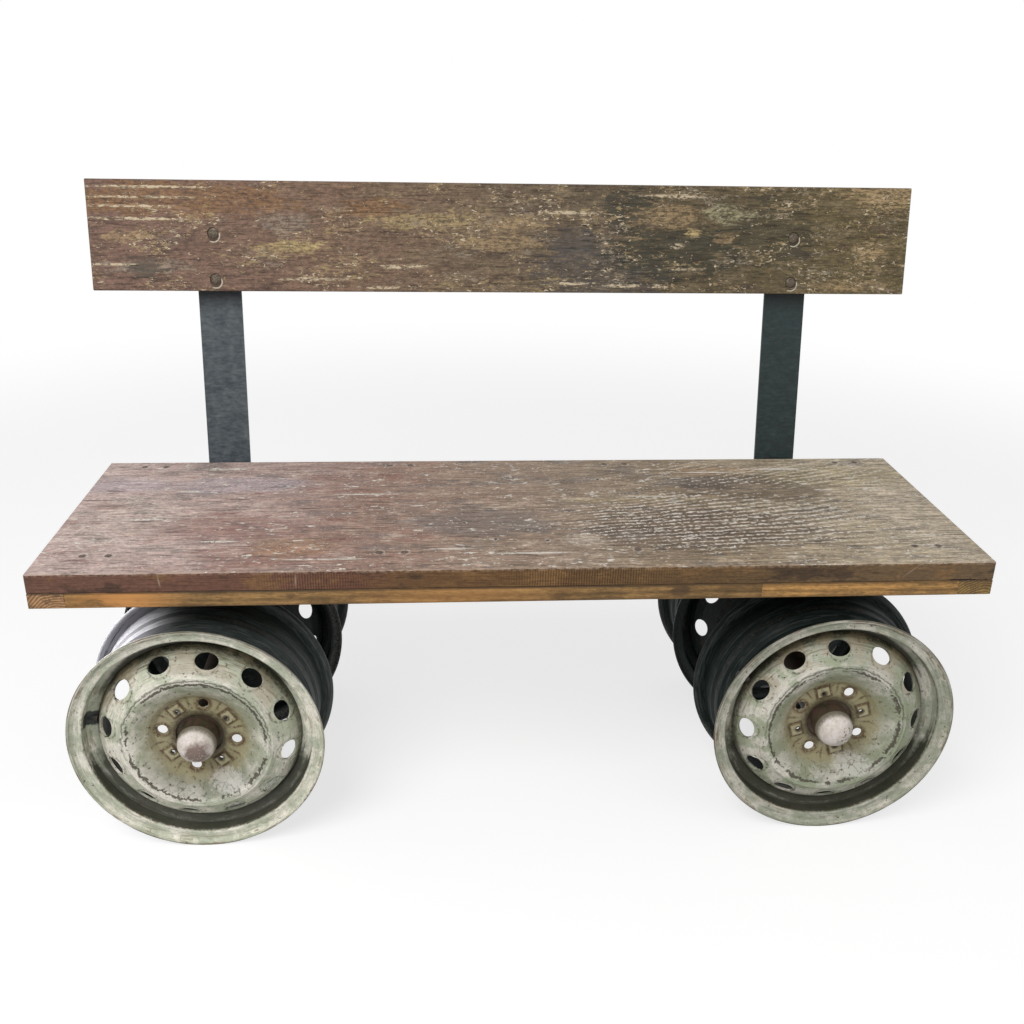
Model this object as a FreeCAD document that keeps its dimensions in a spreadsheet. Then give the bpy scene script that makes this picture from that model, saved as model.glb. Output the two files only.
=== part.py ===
import FreeCAD, Part
import Sketcher
import os
import types

# Bench on four steel road-wheel rims. Two seat planks lie on a layer of battens, a leaning back
# board is bolted to two bent flat bars, and each bar is welded to a square-section bearer that
# stands on a pair of rims with an axle pipe through them.
# +X is to the right seen from the front, the front faces -Y, and the rims stand on Z = 0.

SIZES = {
    # Seat planks
    "seat_length": 1450.0,
    "seat_depth": 464.0,
    "front_plank_depth": 279.0,
    "plank_seam": 1.0,
    "plank_gauge": 31.0,
    "plank_round": 2.0,
    # Battens and the front rail under the planks
    "batten_gauge": 24.5,
    "batten_round": 1.0,
    "rail_width": 35.0,
    "rail_joint_place": 362.7,
    "end_batten_width": 53.0,
    "cross_batten_width": 58.0,
    "outer_batten_inset": 85.0,
    "inner_batten_place": 199.0,
    # Back board
    "board_width": 187.0,
    "board_gauge": 31.0,
    "board_foot": 364.0,
    "lean_angle": 8.87,
    # Bent flat bars
    "bar_inset": 211.0,
    "bar_width": 75.0,
    "bar_gauge": 6.0,
    "bar_bend": 4.0,
    "bar_start": 14.0,
    "bar_top_drop": 58.0,
    # Bearers under the bars
    "bearer_width": 40.0,
    "bearer_height": 30.0,
    "bearer_wall": 3.0,
    "bearer_corner": 4.0,
    "bearer_start": 78.0,
    # Places of the rims
    "wheel_shift": 10.0,
    "wheel_lead": 12.0,
    "wheel_gap": 176.0,
    "left_turn_angle": 10.3,
    "right_turn_angle": 27.8,
    # Rim barrel, from its front lip backwards
    "rim_radius": 195.6,
    "rim_width": 155.6,
    "rim_gauge": 3.0,
    "flange_depth": 11.0,
    "flare_radius": 9.5,
    "flange_height": 17.8,
    "bead_taper": 1.8,
    "bead_run": 20.0,
    "well_drop": 17.8,
    "well_start": 39.0,
    "well_end": 65.0,
    "ledge_drop": 5.3,
    "ledge_start": 80.0,
    "ledge_end": 101.0,
    "hump_start": 107.0,
    "valve_radius": 5.7,
    "valve_fit": 0.1,
    "valve_clearance": 0.5,
    # Rim disc, from the lip plane backwards
    "disc_gauge": 3.5,
    "bore_radius": 37.0,
    "hub_depth": 24.0,
    "hub_radius": 68.0,
    "dish_depth": 15.0,
    "dish_radius": 77.0,
    "crest_rise": 3.0,
    "crest_shoulder": 2.5,
    "vent_depth": 13.3,
    "shoulder_depth": 25.0,
    "skirt_start": 38.0,
    "skirt_end": 62.0,
    "skirt_fit": 0.1,
    "vent_tilt_angle": 45.0,
    "lug_ring": 57.15,
    "lug_radius": 7.8,
    "lug_seat_radius": 10.0,
    "lug_seat_depth": 1.5,
    "pad_ring": 56.0,
    "pad_length": 17.0,
    "pad_width": 20.0,
    "pad_rise": 2.5,
    "pad_hole_ring": 52.6,
    "pad_hole_radius": 3.5,
    # Axle pipes with domed ends and a collar behind each disc
    "pipe_radius": 30.15,
    "pipe_wall": 3.65,
    "pipe_inset": 2.6,
    "pipe_tail": 30.0,
    "collar_radius": 42.0,
    "collar_gauge": 5.0,
    "collar_bead": 4.0,
    # Weld beads between rim, bearer and bar
    "flange_bead_radius": 3.0,
    "flange_bead_run": 6.0,
    "bar_bead_radius": 4.0,
    "bar_bead_run": 45.0,
    "first_bar_bead": 165.0,
    "last_bar_bead_inset": 4.0,
    # Wood screws through the planks and up through the battens
    "screw_shank": 2.4,
    "screw_head": 4.6,
    "screw_head_depth": 2.8,
    "seat_screw_run": 50.0,
    "frame_screw_run": 45.0,
    "screw_pair_pitch": 38.0,
    "front_screw_depth": 61.7,
    "back_screw_inset": 23.5,
    "rail_screw_inset": 62.0,
    "rail_screw_pitch": 300.0,
    "screw_fit": 0.1,
    # Hexagon-head screws up through the bars
    "coach_shank": 4.0,
    "coach_run": 44.0,
    "coach_head_flats": 13.0,
    "coach_head_depth": 5.3,
    "coach_offset": 28.5,
    "first_coach_depth": 110.0,
    "last_coach_inset": 74.0,
    # Bolts of the back board
    "bolt_shank": 4.0,
    "bolt_head": 8.8,
    "bolt_head_depth": 3.2,
    "bolt_tail": 3.0,
    "bolt_low": 20.6,
    "bolt_high": 99.0,
    "bolt_recess": 9.8,
    "bolt_fit": 0.2,
    "washer_radius": 8.0,
    "washer_gauge": 1.6,
    "nut_flats": 13.0,
    "nut_depth": 6.5,
    # How far a cutting shape runs past what it cuts
    "overrun": 5.0,
}

VENTS = 12
LUGS = 4
PAD_START_SHARE = 0.5
COACH_ROWS = 3
BAR_BEADS = 3
RAIL_SCREWS = 3
END_BATTEN_SCREWS = 3
HEXAGON_SIDES = 6

# A bolt head's crown: each point as shares of the head's radius and of its depth.
CROWN_SHARES = ((0.5, 0.17), (1.0, 0.67))

# Places on the disc as shares of the way out from its dish to its skirt, and half a vent's length
# as a share of that way. A vent is an oval, longer round the disc than across it.
CREASE_SHARE = 0.3254
CREST_SHARES = (0.4068, 0.4944)
CREST_FOOT_SHARE = 0.5757
VENT_RING_SHARE = 0.801
SHOULDER_SHARE = 0.9387
VENT_LENGTH_SHARE = 0.2240
VENT_OVAL_SHARE = 0.76

# An edge runs along a direction where this share of it or more lies that way.
ALONG_SHARE = 0.5

RIGHT = FreeCAD.Vector(1, 0, 0)
REAR = FreeCAD.Vector(0, 1, 0)
UP = FreeCAD.Vector(0, 0, 1)
FULL_TURN = 360
HALF_TURN = FULL_TURN / 2
QUARTER_TURN = FULL_TURN / 4

doc = FreeCAD.newDocument("rim_bench")
sheet = doc.addObject("Spreadsheet::Sheet", "Sizes")
for row, (alias, amount) in enumerate(SIZES.items(), start=1):
    sheet.set(f"A{row}", alias)
    sheet.set(f"B{row}", str(amount))
    sheet.setAlias(f"B{row}", alias)
doc.recompute()


class Size:
    """A size with its amount and the sheet expression that gives it."""

    def __init__(self, amount, text):
        self.amount = amount
        self.text = text

    def __add__(self, other):
        other = as_size(other)
        return Size(self.amount + other.amount, f"({self.text} + {other.text})")

    def __sub__(self, other):
        other = as_size(other)
        return Size(self.amount - other.amount, f"({self.text} - {other.text})")

    def __mul__(self, other):
        other = as_size(other)
        return Size(self.amount * other.amount, f"({self.text} * {other.text})")

    def __truediv__(self, other):
        other = as_size(other)
        return Size(self.amount / other.amount, f"({self.text} / {other.text})")

    def __neg__(self):
        return Size(-self.amount, f"(0 - {self.text})")


def as_size(value):
    return value if isinstance(value, Size) else Size(value, str(value))


def worked_out(name, *angles):
    """A size that a function such as sin, cos, tan or max gives, worked out by the sheet's rules."""
    text = f"{name}({'; '.join(angle.text for angle in angles)})"
    return Size(float(sheet.evalExpression(text)), text)


S = types.SimpleNamespace(
    **{alias: Size(float(sheet.get(alias)), f"Sizes.{alias}") for alias in SIZES}
)
LEAN_SIN = worked_out("sin", S.lean_angle)
LEAN_COS = worked_out("cos", S.lean_angle)

# Places along the bench, from its middle outwards.
OUTER_BATTEN_PLACE = S.seat_length / 2 - S.outer_batten_inset
BAR_PLACE = S.seat_length / 2 - S.bar_inset
WHEEL_PLACE = BAR_PLACE - S.wheel_shift

# Heights and depths that several pieces share. A depth is measured back from the seat's front edge.
BEARER_FOOT = S.rim_radius * 2
BAR_FOOT = BEARER_FOOT + S.bearer_height
SEAT_FOOT = BAR_FOOT + S.bar_gauge
PLANK_FOOT = SEAT_FOOT + S.batten_gauge
SEAT_TOP = PLANK_FOOT + S.plank_gauge
BAR_GAP = S.bar_bend * worked_out("tan", (as_size(QUARTER_TURN) - S.lean_angle) / 2)
BAR_CORNER = S.seat_depth + BAR_GAP
FRONT_LIP = -S.wheel_lead
REAR_LIP = FRONT_LIP + S.rim_width + S.wheel_gap
WHEELS_END = REAR_LIP + S.rim_width
BOLT_REACH = S.bar_gauge + S.washer_gauge + S.nut_depth + S.bolt_tail

# The frame's origin lies under the middle of the whole bench, from the front domes to the back.
FRONT_REACH = FRONT_LIP + S.pipe_inset - S.pipe_radius
BOARD_REACH = BAR_CORNER + (S.board_foot + S.board_width) * LEAN_SIN
BOLT_END_REACH = (
    BAR_CORNER + (S.board_foot + S.bolt_high + S.bolt_shank) * LEAN_SIN + BOLT_REACH * LEAN_COS
)
BACK_REACH = worked_out("max", BOARD_REACH, BOLT_END_REACH)
MIDDLE_DEPTH = (FRONT_REACH + BACK_REACH) / 2

nodes = []


def make(kind, name, **sizes):
    """One object of the document, with its sizes bound to the sheet."""
    made = doc.addObject(kind, name)
    for prop, size in sizes.items():
        made.setExpression(prop, as_size(size).text)
    return made


def place(made, across=0, depth=0, height=0, axis=None, turn=0):
    """Put an object at a place that the sheet gives, turned about an axis if one is named."""
    if axis is not None:
        made.Placement = FreeCAD.Placement(FreeCAD.Vector(), FreeCAD.Rotation(axis, 1))
        made.setExpression("Placement.Rotation.Angle", as_size(turn).text)
    made.setExpression("Placement.Base.x", as_size(across).text)
    made.setExpression("Placement.Base.y", as_size(depth).text)
    made.setExpression("Placement.Base.z", as_size(height).text)
    return made


def in_frame(depth):
    """A depth behind the seat's front edge, as a place along Y of the frame."""
    return as_size(depth) - MIDDLE_DEPTH


def keep(made, label):
    """Name a finished piece and put it among the nodes."""
    made.Label = label
    nodes.append(made)
    return made


def group(name, members):
    made = doc.addObject("Part::Compound", name)
    made.Links = members
    return made


def cut(name, base, tools):
    made = doc.addObject("Part::Cut", name)
    made.Base = base
    made.Tool = group(name + "_tools", tools) if len(tools) > 1 else tools[0]
    return made


def fuse(name, members):
    made = doc.addObject("Part::MultiFuse", name)
    made.Shapes = members
    return made


def fix_point(sketch, line, end, across, up):
    """Hold one point of a sketch at a place that the sheet gives."""
    for kind, size in (("DistanceX", across), ("DistanceY", up)):
        if size is None:
            continue
        size = as_size(size)
        number = sketch.addConstraint(Sketcher.Constraint(kind, -1, 1, line, end, size.amount))
        sketch.setExpression(f"Constraints[{number}]", size.text)


def draw(sketch, points, closed):
    """Draw straight lines through points, closed back to the first one or left open.

    A point is (across, up). An arc is ("arc", centre, end, clockwise, held): held names the one
    place of its end that is fixed, because the arc's radius gives the other.
    """
    first = points[0]
    here = (as_size(first[0]).amount, as_size(first[1]).amount)
    start_fixed = False
    last = -1
    for step in points[1:] + ([first] if closed else []):
        start = FreeCAD.Vector(here[0], here[1], 0)
        if step[0] == "arc":
            _, centre, end, clockwise, held = step
            middle = FreeCAD.Vector(as_size(centre[0]).amount, as_size(centre[1]).amount, 0)
            radius = (start - middle).Length
            stop = FreeCAD.Vector(as_size(end[0]).amount, as_size(end[1]).amount, 0)
            half = ((start - middle).normalize() + (stop - middle).normalize()).normalize()
            curve = Part.Arc(start, middle + half * radius, stop)
            line = sketch.addGeometry(curve, False)
            # A sketch keeps an arc anticlockwise, so a clockwise one starts at its second end.
            near, far = (2, 1) if clockwise else (1, 2)
            fix_point(sketch, line, 3, centre[0], centre[1])
            fix_point(
                sketch, line, far,
                end[0] if held == "across" else None, end[1] if held == "up" else None,
            )
        else:
            stop = FreeCAD.Vector(as_size(step[0]).amount, as_size(step[1]).amount, 0)
            line = sketch.addGeometry(Part.LineSegment(start, stop), False)
            near, far = 1, 2
            if not (closed and step is first):
                fix_point(sketch, line, 2, step[0], step[1])
        if not start_fixed:
            fix_point(sketch, line, near, first[0], first[1])
            first_line = (line, near)
            start_fixed = True
        else:
            sketch.addConstraint(Sketcher.Constraint("Coincident", last, last_end, line, near))
        last, last_end = line, far
        here = (stop.x, stop.y)
    if closed:
        sketch.addConstraint(Sketcher.Constraint("Coincident", last, last_end, *first_line))


def side_sketch(name, points, closed):
    """A sketch in the plane across X: its own X runs rearwards and its own Y runs up."""
    sketch = doc.addObject("Sketcher::SketchObject", name)
    sketch.Placement = FreeCAD.Placement(FreeCAD.Vector(), FreeCAD.Rotation(REAR, UP, RIGHT, "XYZ"))
    draw(sketch, points, closed)
    return sketch


def sheet_metal(name, points, gauge):
    """The cross-section of a bent sheet, as thick as its gauge on one side of a line."""
    made = make("Part::Offset2D", name, Value=gauge)
    made.Source = side_sketch(name + "_line", points, closed=False)
    made.Mode = "Skin"
    made.Join = "Arc"
    made.Fill = True
    return made


def spin(name, section):
    """A piece turned about the Y axis from its section."""
    made = doc.addObject("Part::Revolution", name)
    made.Source = section
    made.Axis = REAR
    made.Base = FreeCAD.Vector()
    made.Angle = FULL_TURN
    made.Solid = True
    return made


def copy_of(made, name):
    """The same piece once more, with a place of its own."""
    return group(name, [made])


def ring_of(tool, name, count, start_share=0):
    """Copies of a tool, evenly spaced about the Y axis from a share of one step onwards."""
    turned = []
    for number in range(count):
        copy = copy_of(tool, f"{name}_{number + 1}")
        place(copy, axis=REAR, turn=(number + start_share) * FULL_TURN / count)
        turned.append(copy)
    return turned


def origin_plane(body, role):
    return next(item for item in body.Origin.OriginFeatures if item.Role == role)


def board(name, length, width, gauge, rounding):
    """A plain board with its edges eased: its length along X, its width along Y."""
    body = doc.addObject("PartDesign::Body", name)
    outline = body.newObject("Sketcher::SketchObject", name + "_outline")
    outline.AttachmentSupport = (origin_plane(body, "XY_Plane"), [""])
    outline.MapMode = "FlatFace"
    draw(outline, [(0, 0), (length, 0), (length, width), (0, width)], closed=True)
    pad = body.newObject("PartDesign::Pad", name + "_pad")
    pad.Profile = outline
    pad.setExpression("Length", gauge.text)
    doc.recompute()
    eased = body.newObject("PartDesign::Fillet", name + "_eased")
    eased.Base = (pad, [f"Edge{number + 1}" for number in range(len(pad.Shape.Edges))])
    eased.setExpression("Radius", rounding.text)
    body.Tip = eased
    return body


def turned_section(name, points):
    """A solid turned about its own upright axis: its outline gives radius and height."""
    sketch = doc.addObject("Sketcher::SketchObject", name + "_outline")
    sketch.Placement = FreeCAD.Placement(FreeCAD.Vector(), FreeCAD.Rotation(RIGHT, QUARTER_TURN))
    draw(sketch, points, closed=True)
    made = doc.addObject("Part::Revolution", name)
    made.Source = sketch
    made.Axis = UP
    made.Base = FreeCAD.Vector()
    made.Angle = FULL_TURN
    made.Solid = True
    return made


# Screws, bolts and their holes


def wood_screw(name, run, fit):
    """A countersunk screw that hangs down from its head at the origin."""
    return turned_section(
        name,
        [
            (0, 0),
            (S.screw_head + fit, 0),
            (S.screw_shank + fit, -S.screw_head_depth),
            (S.screw_shank + fit, -run),
            (0, -run),
        ],
    )


def hexagon(name, flats, depth):
    """A six-sided head or nut, measured across its flats."""
    corner = flats / 2 / worked_out("cos", as_size(HALF_TURN / HEXAGON_SIDES))
    made = make("Part::Prism", name, Circumradius=corner, Height=depth)
    made.Polygon = HEXAGON_SIDES
    return made


no_fit = as_size(0)
seat_screw = wood_screw("seat_screw_form", S.seat_screw_run, no_fit)
seat_screw_hole = wood_screw("seat_screw_hole_form", S.seat_screw_run, S.screw_fit)
frame_screw = wood_screw("frame_screw_form", S.frame_screw_run, no_fit)
frame_screw_hole = wood_screw("frame_screw_hole_form", S.frame_screw_run, S.screw_fit)

seat_screw_places = []
for side in (-1, 1):
    for batten in (S.inner_batten_place, OUTER_BATTEN_PLACE):
        for half in (-1, 1):
            for row_depth in (S.front_screw_depth, S.seat_depth - S.back_screw_inset):
                across = batten * side + S.screw_pair_pitch * half / 2
                seat_screw_places.append((across, row_depth))

END_BATTEN_INNER = S.seat_length / 2 - S.end_batten_width
rail_screw_depth = S.rail_width / 2
frame_screw_places = []
for number in range(RAIL_SCREWS):
    across = S.rail_screw_pitch * number - END_BATTEN_INNER + S.rail_screw_inset
    frame_screw_places.append((across, rail_screw_depth))
frame_screw_places.append((S.rail_joint_place - S.rail_screw_inset, rail_screw_depth))
frame_screw_places.append((S.rail_joint_place + S.rail_screw_inset, rail_screw_depth))
frame_screw_places.append((END_BATTEN_INNER - S.rail_screw_inset, rail_screw_depth))
for side in (-1, 1):
    for number in range(END_BATTEN_SCREWS):
        run = (S.seat_depth - S.rail_screw_inset * 2) / (END_BATTEN_SCREWS - 1)
        across = (S.seat_length - S.end_batten_width) * side / 2
        frame_screw_places.append((across, S.rail_screw_inset + run * number))

coach_places = []
coach_pitch = (S.seat_depth - S.first_coach_depth - S.last_coach_inset) / (COACH_ROWS - 1)
for side in (-1, 1):
    for half in (-1, 1):
        for number in range(COACH_ROWS):
            across = BAR_PLACE * side + S.coach_offset * half
            coach_places.append((across, S.first_coach_depth + coach_pitch * number))


def at_places(form, name, places, height, flipped=False):
    """One copy of a form at each place."""
    copies = []
    for number, (across, depth) in enumerate(places, start=1):
        copy = copy_of(form, f"{name}_{number}")
        if flipped:
            place(copy, across, in_frame(depth), height, axis=RIGHT, turn=HALF_TURN)
        else:
            place(copy, across, in_frame(depth), height)
        copies.append(copy)
    return copies


coach_head = hexagon("coach_head", S.coach_head_flats, S.coach_head_depth)
place(coach_head, height=-S.coach_head_depth)
coach_stem = make("Part::Cylinder", "coach_stem", Radius=S.coach_shank, Height=S.coach_run)
coach_screw = fuse("coach_screw_form", [coach_head, coach_stem])
coach_hole = make(
    "Part::Cylinder", "coach_hole_form", Radius=S.coach_shank + S.screw_fit, Height=S.coach_run
)

screw_holes = (
    at_places(seat_screw_hole, "seat_screw_hole", seat_screw_places, SEAT_TOP)
    + at_places(frame_screw_hole, "frame_screw_hole", frame_screw_places, SEAT_FOOT, flipped=True)
    + at_places(coach_hole, "coach_hole", coach_places, BAR_FOOT)
)

seat_screws = at_places(seat_screw, "seat_screw", seat_screw_places, SEAT_TOP)
frame_screws = at_places(frame_screw, "frame_screw", frame_screw_places, SEAT_FOOT, flipped=True)
bar_screws = at_places(coach_screw, "bar_screw", coach_places, BAR_FOOT)
keep(group("seat_screw_set", seat_screws), "seat_screws")
keep(group("frame_screw_set", frame_screws), "frame_screws")
keep(group("bar_screw_set", bar_screws), "bar_screws")


# Seat planks, battens and the front rail


def seat_board(label, left, depth, foot, length, width, gauge, rounding):
    """A board of the seat with the holes of the screws that meet it."""
    blank = board(label + "_blank", length, width, gauge, rounding)
    place(blank, left, in_frame(depth), foot)
    keep(cut(label + "_drilled", blank, screw_holes), label)


seat_board(
    "seat_plank_front", -S.seat_length / 2, 0, PLANK_FOOT,
    S.seat_length, S.front_plank_depth, S.plank_gauge, S.plank_round,
)
seat_board(
    "seat_plank_rear", -S.seat_length / 2, S.front_plank_depth + S.plank_seam, PLANK_FOOT,
    S.seat_length, S.seat_depth - S.front_plank_depth - S.plank_seam, S.plank_gauge, S.plank_round,
)
seat_board(
    "front_rail_left", -END_BATTEN_INNER, 0, SEAT_FOOT,
    END_BATTEN_INNER + S.rail_joint_place, S.rail_width, S.batten_gauge, S.batten_round,
)
seat_board(
    "front_rail_right", S.rail_joint_place, 0, SEAT_FOOT,
    END_BATTEN_INNER - S.rail_joint_place, S.rail_width, S.batten_gauge, S.batten_round,
)
seat_board(
    "end_batten_left", -S.seat_length / 2, 0, SEAT_FOOT,
    S.end_batten_width, S.seat_depth, S.batten_gauge, S.batten_round,
)
seat_board(
    "end_batten_right", END_BATTEN_INNER, 0, SEAT_FOOT,
    S.end_batten_width, S.seat_depth, S.batten_gauge, S.batten_round,
)
cross_battens = {
    "outer": (OUTER_BATTEN_PLACE, S.cross_batten_width),
    "bar": (BAR_PLACE, S.bar_width),
    "inner": (S.inner_batten_place, S.cross_batten_width),
}
for kind, (middle, width) in cross_battens.items():
    for side_name, side in (("left", -1), ("right", 1)):
        seat_board(
            f"{kind}_batten_{side_name}", middle * side - width / 2, S.rail_width, SEAT_FOOT,
            width, S.seat_depth - S.rail_width, S.batten_gauge, S.batten_round,
        )


# Back board with its bolts, in the leaning plane of the bars' front faces


def leaning(made, across, out, along):
    """Put a piece in the leaning plane: out is behind the bars' front faces, along runs up them."""
    return place(
        made, across,
        in_frame(BAR_CORNER + out * LEAN_COS + along * LEAN_SIN),
        SEAT_FOOT - out * LEAN_SIN + along * LEAN_COS,
        axis=RIGHT, turn=-S.lean_angle,
    )


def lying_back(made, across, out, along):
    """The same, for a form turned about an upright axis that is to point backwards."""
    return place(
        made, across,
        in_frame(BAR_CORNER + out * LEAN_COS + along * LEAN_SIN),
        SEAT_FOOT - out * LEAN_SIN + along * LEAN_COS,
        axis=RIGHT, turn=-(S.lean_angle + QUARTER_TURN),
    )


bolt_form = turned_section(
    "bolt_form",
    [
        (0, 0),
        *[(S.bolt_head * out, S.bolt_head_depth * back) for out, back in CROWN_SHARES],
        (S.bolt_head, S.bolt_head_depth),
        (S.bolt_shank, S.bolt_head_depth),
        (S.bolt_shank, S.board_gauge + BOLT_REACH),
        (0, S.board_gauge + BOLT_REACH),
    ],
)
bolt_hole_form = turned_section(
    "bolt_hole_form",
    [
        (0, -S.overrun),
        (S.bolt_recess, -S.overrun),
        (S.bolt_recess, S.bolt_head_depth),
        (S.bolt_shank + S.bolt_fit, S.bolt_head_depth),
        (S.bolt_shank + S.bolt_fit, S.board_gauge + BOLT_REACH),
        (0, S.board_gauge + BOLT_REACH),
    ],
)
ring_bore = make(
    "Part::Cylinder", "ring_bore",
    Radius=S.bolt_shank + S.bolt_fit, Height=S.washer_gauge + S.overrun * 2,
)
place(ring_bore, height=-S.overrun)
washer_blank = make("Part::Cylinder", "washer_blank", Radius=S.washer_radius, Height=S.washer_gauge)
washer_form = cut("washer_form", washer_blank, [ring_bore])
nut_blank = hexagon("nut_blank", S.nut_flats, S.nut_depth)
nut_bore = make(
    "Part::Cylinder", "nut_bore", Radius=S.bolt_shank, Height=S.nut_depth + S.overrun * 2
)
place(nut_bore, height=-S.overrun)
nut_form = cut("nut_form", nut_blank, [nut_bore])

bolt_places = [
    (BAR_PLACE * side, S.board_foot + row)
    for side in (-1, 1)
    for row in (S.bolt_low, S.bolt_high)
]


def at_bolts(form, name, out):
    """One copy of a form on each bolt of the back board."""
    copies = []
    for number, (across, along) in enumerate(bolt_places, start=1):
        copies.append(lying_back(copy_of(form, f"{name}_{number}"), across, out, along))
    return copies


bolt_holes = at_bolts(bolt_hole_form, "bolt_hole", -S.board_gauge)
back_bolts = at_bolts(bolt_form, "back_bolt", -S.board_gauge)
back_washers = at_bolts(washer_form, "back_washer", S.bar_gauge)
back_nuts = at_bolts(nut_form, "back_nut", S.bar_gauge + S.washer_gauge)
keep(group("back_bolt_set", back_bolts), "back_bolts")
keep(group("back_washer_set", back_washers), "back_washers")
keep(group("back_nut_set", back_nuts), "back_nuts")

board_blank = board("back_board_blank", S.seat_length, S.board_gauge, S.board_width, S.plank_round)
leaning(board_blank, -S.seat_length / 2, -S.board_gauge, S.board_foot)
keep(cut("back_board_drilled", board_blank, bolt_holes), "back_board")

# Bent flat bars, bearers and the beads between them

BAR_RISE = S.board_foot + S.board_width - S.bar_top_drop
bar_section = sheet_metal(
    "bar_section",
    [
        (S.bar_start, 0),
        (BAR_CORNER - BAR_GAP, 0),
        (
            "arc",
            (BAR_CORNER - BAR_GAP, S.bar_bend),
            (BAR_CORNER + BAR_GAP * LEAN_SIN, BAR_GAP * LEAN_COS),
            False, "up",
        ),
        (BAR_CORNER + BAR_RISE * LEAN_SIN, BAR_RISE * LEAN_COS),
    ],
    S.bar_gauge,
)
bar_form = make("Part::Extrusion", "bar_form", LengthFwd=S.bar_width)
bar_form.Base = bar_section
bar_form.DirMode = "Custom"
bar_form.Dir = RIGHT
bar_form.Solid = True

bearer_outer = make(
    "Part::Box", "bearer_outer",
    Length=S.bearer_width, Width=WHEELS_END - S.bearer_start, Height=S.bearer_height,
)
doc.recompute()
bearer_rounded = doc.addObject("Part::Fillet", "bearer_rounded")
bearer_rounded.Base = bearer_outer
bearer_rounded.Edges = [
    (number, S.bearer_corner.amount, S.bearer_corner.amount)
    for number, edge in enumerate(bearer_outer.Shape.Edges, start=1)
    if abs(edge.tangentAt(edge.FirstParameter).dot(REAR)) > ALONG_SHARE
]
bearer_hollow = make(
    "Part::Box", "bearer_hollow",
    Length=S.bearer_width - S.bearer_wall * 2,
    Width=WHEELS_END - S.bearer_start + S.overrun * 2,
    Height=S.bearer_height - S.bearer_wall * 2,
)
place(bearer_hollow, S.bearer_wall, -S.overrun, S.bearer_wall)
bearer_form = cut("bearer_form", bearer_rounded, [bearer_hollow])

bead_form = make("Part::Cylinder", "bar_bead_form", Radius=S.bar_bead_radius, Height=S.bar_bead_run)
bead_form.Angle = QUARTER_TURN
place(bead_form, axis=RIGHT, turn=-QUARTER_TURN)

last_bar_bead = S.seat_depth - S.last_bar_bead_inset - S.bar_bead_run
bar_bead_pitch = (last_bar_bead - S.first_bar_bead) / (BAR_BEADS - 1)
bearers_filled = {}
for side_name, side in (("left", -1), ("right", 1)):
    bar = copy_of(bar_form, f"bent_bar_{side_name}_whole")
    place(bar, BAR_PLACE * side - S.bar_width / 2, in_frame(0), SEAT_FOOT)
    holes = at_places(coach_hole, f"bar_hole_{side_name}", coach_places, BAR_FOOT)
    keep(cut(f"bent_bar_{side_name}_drilled", bar, holes + bolt_holes), f"bent_bar_{side_name}")
    bearer = copy_of(bearer_form, f"bearer_{side_name}_placed")
    filled = copy_of(bearer_rounded, f"bearer_{side_name}_filled")
    for made in (bearer, filled):
        place(made, BAR_PLACE * side - S.bearer_width / 2, in_frame(S.bearer_start), BEARER_FOOT)
    keep(bearer, f"bearer_{side_name}")
    bearers_filled[side_name] = filled
    beads = []
    # The left beads are the right ones turned about, so that each starts at its rear end.
    for flank, half, turn, start in (("l", -1, HALF_TURN, S.bar_bead_run), ("r", 1, 0, 0)):
        for number in range(BAR_BEADS):
            bead = copy_of(bead_form, f"bar_bead_{side_name}_{flank}_{number + 1}")
            depth = S.first_bar_bead + bar_bead_pitch * number + start
            place(
                bead, BAR_PLACE * side + S.bearer_width * half / 2, in_frame(depth), BAR_FOOT,
                axis=UP, turn=turn,
            )
            beads.append(bead)
    keep(group(f"bar_beads_{side_name}", beads), f"bar_welds_{side_name}")

# Rim barrel and disc, each turned about Y with the front lip plane at the origin

FLARE_START = S.flange_depth - S.flare_radius
REAR_WALL = S.rim_width - S.flange_depth
BEAD_RADIUS = S.rim_radius - S.flange_height
WELL_RADIUS = BEAD_RADIUS - S.well_drop
LEDGE_RADIUS = BEAD_RADIUS - S.ledge_drop
barrel_section = sheet_metal(
    "barrel_section",
    [
        (0, S.rim_radius),
        (FLARE_START, S.rim_radius),
        ("arc", (FLARE_START, S.rim_radius - S.flare_radius),
         (S.flange_depth, S.rim_radius - S.flare_radius), True, "up"),
        (S.flange_depth, BEAD_RADIUS),
        (S.flange_depth + S.bead_run, BEAD_RADIUS - S.bead_taper),
        (S.well_start, WELL_RADIUS),
        (S.well_end, WELL_RADIUS),
        (S.ledge_start, LEDGE_RADIUS),
        (S.ledge_end, LEDGE_RADIUS),
        (S.hump_start, BEAD_RADIUS - S.bead_taper),
        (REAR_WALL, BEAD_RADIUS),
        (REAR_WALL, S.rim_radius - S.flare_radius),
        ("arc", (REAR_WALL + S.flare_radius, S.rim_radius - S.flare_radius),
         (REAR_WALL + S.flare_radius, S.rim_radius), True, "across"),
        (S.rim_width, S.rim_radius),
    ],
    S.rim_gauge,
)
barrel_whole = spin("barrel_whole", barrel_section)
valve_drill = make(
    "Part::Cylinder", "valve_drill",
    Radius=S.valve_radius, Height=S.rim_radius - WELL_RADIUS + S.overrun * 2,
)
VALVE_DEPTH = (S.flange_depth + S.bead_run + S.well_start) / 2
place(
    valve_drill, -(WELL_RADIUS - S.overrun * 2), VALVE_DEPTH, 0, axis=REAR, turn=-QUARTER_TURN,
)
barrel_form = cut("barrel_form", barrel_whole, [valve_drill])

SKIRT_RADIUS = WELL_RADIUS - S.rim_gauge - S.skirt_fit

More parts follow.
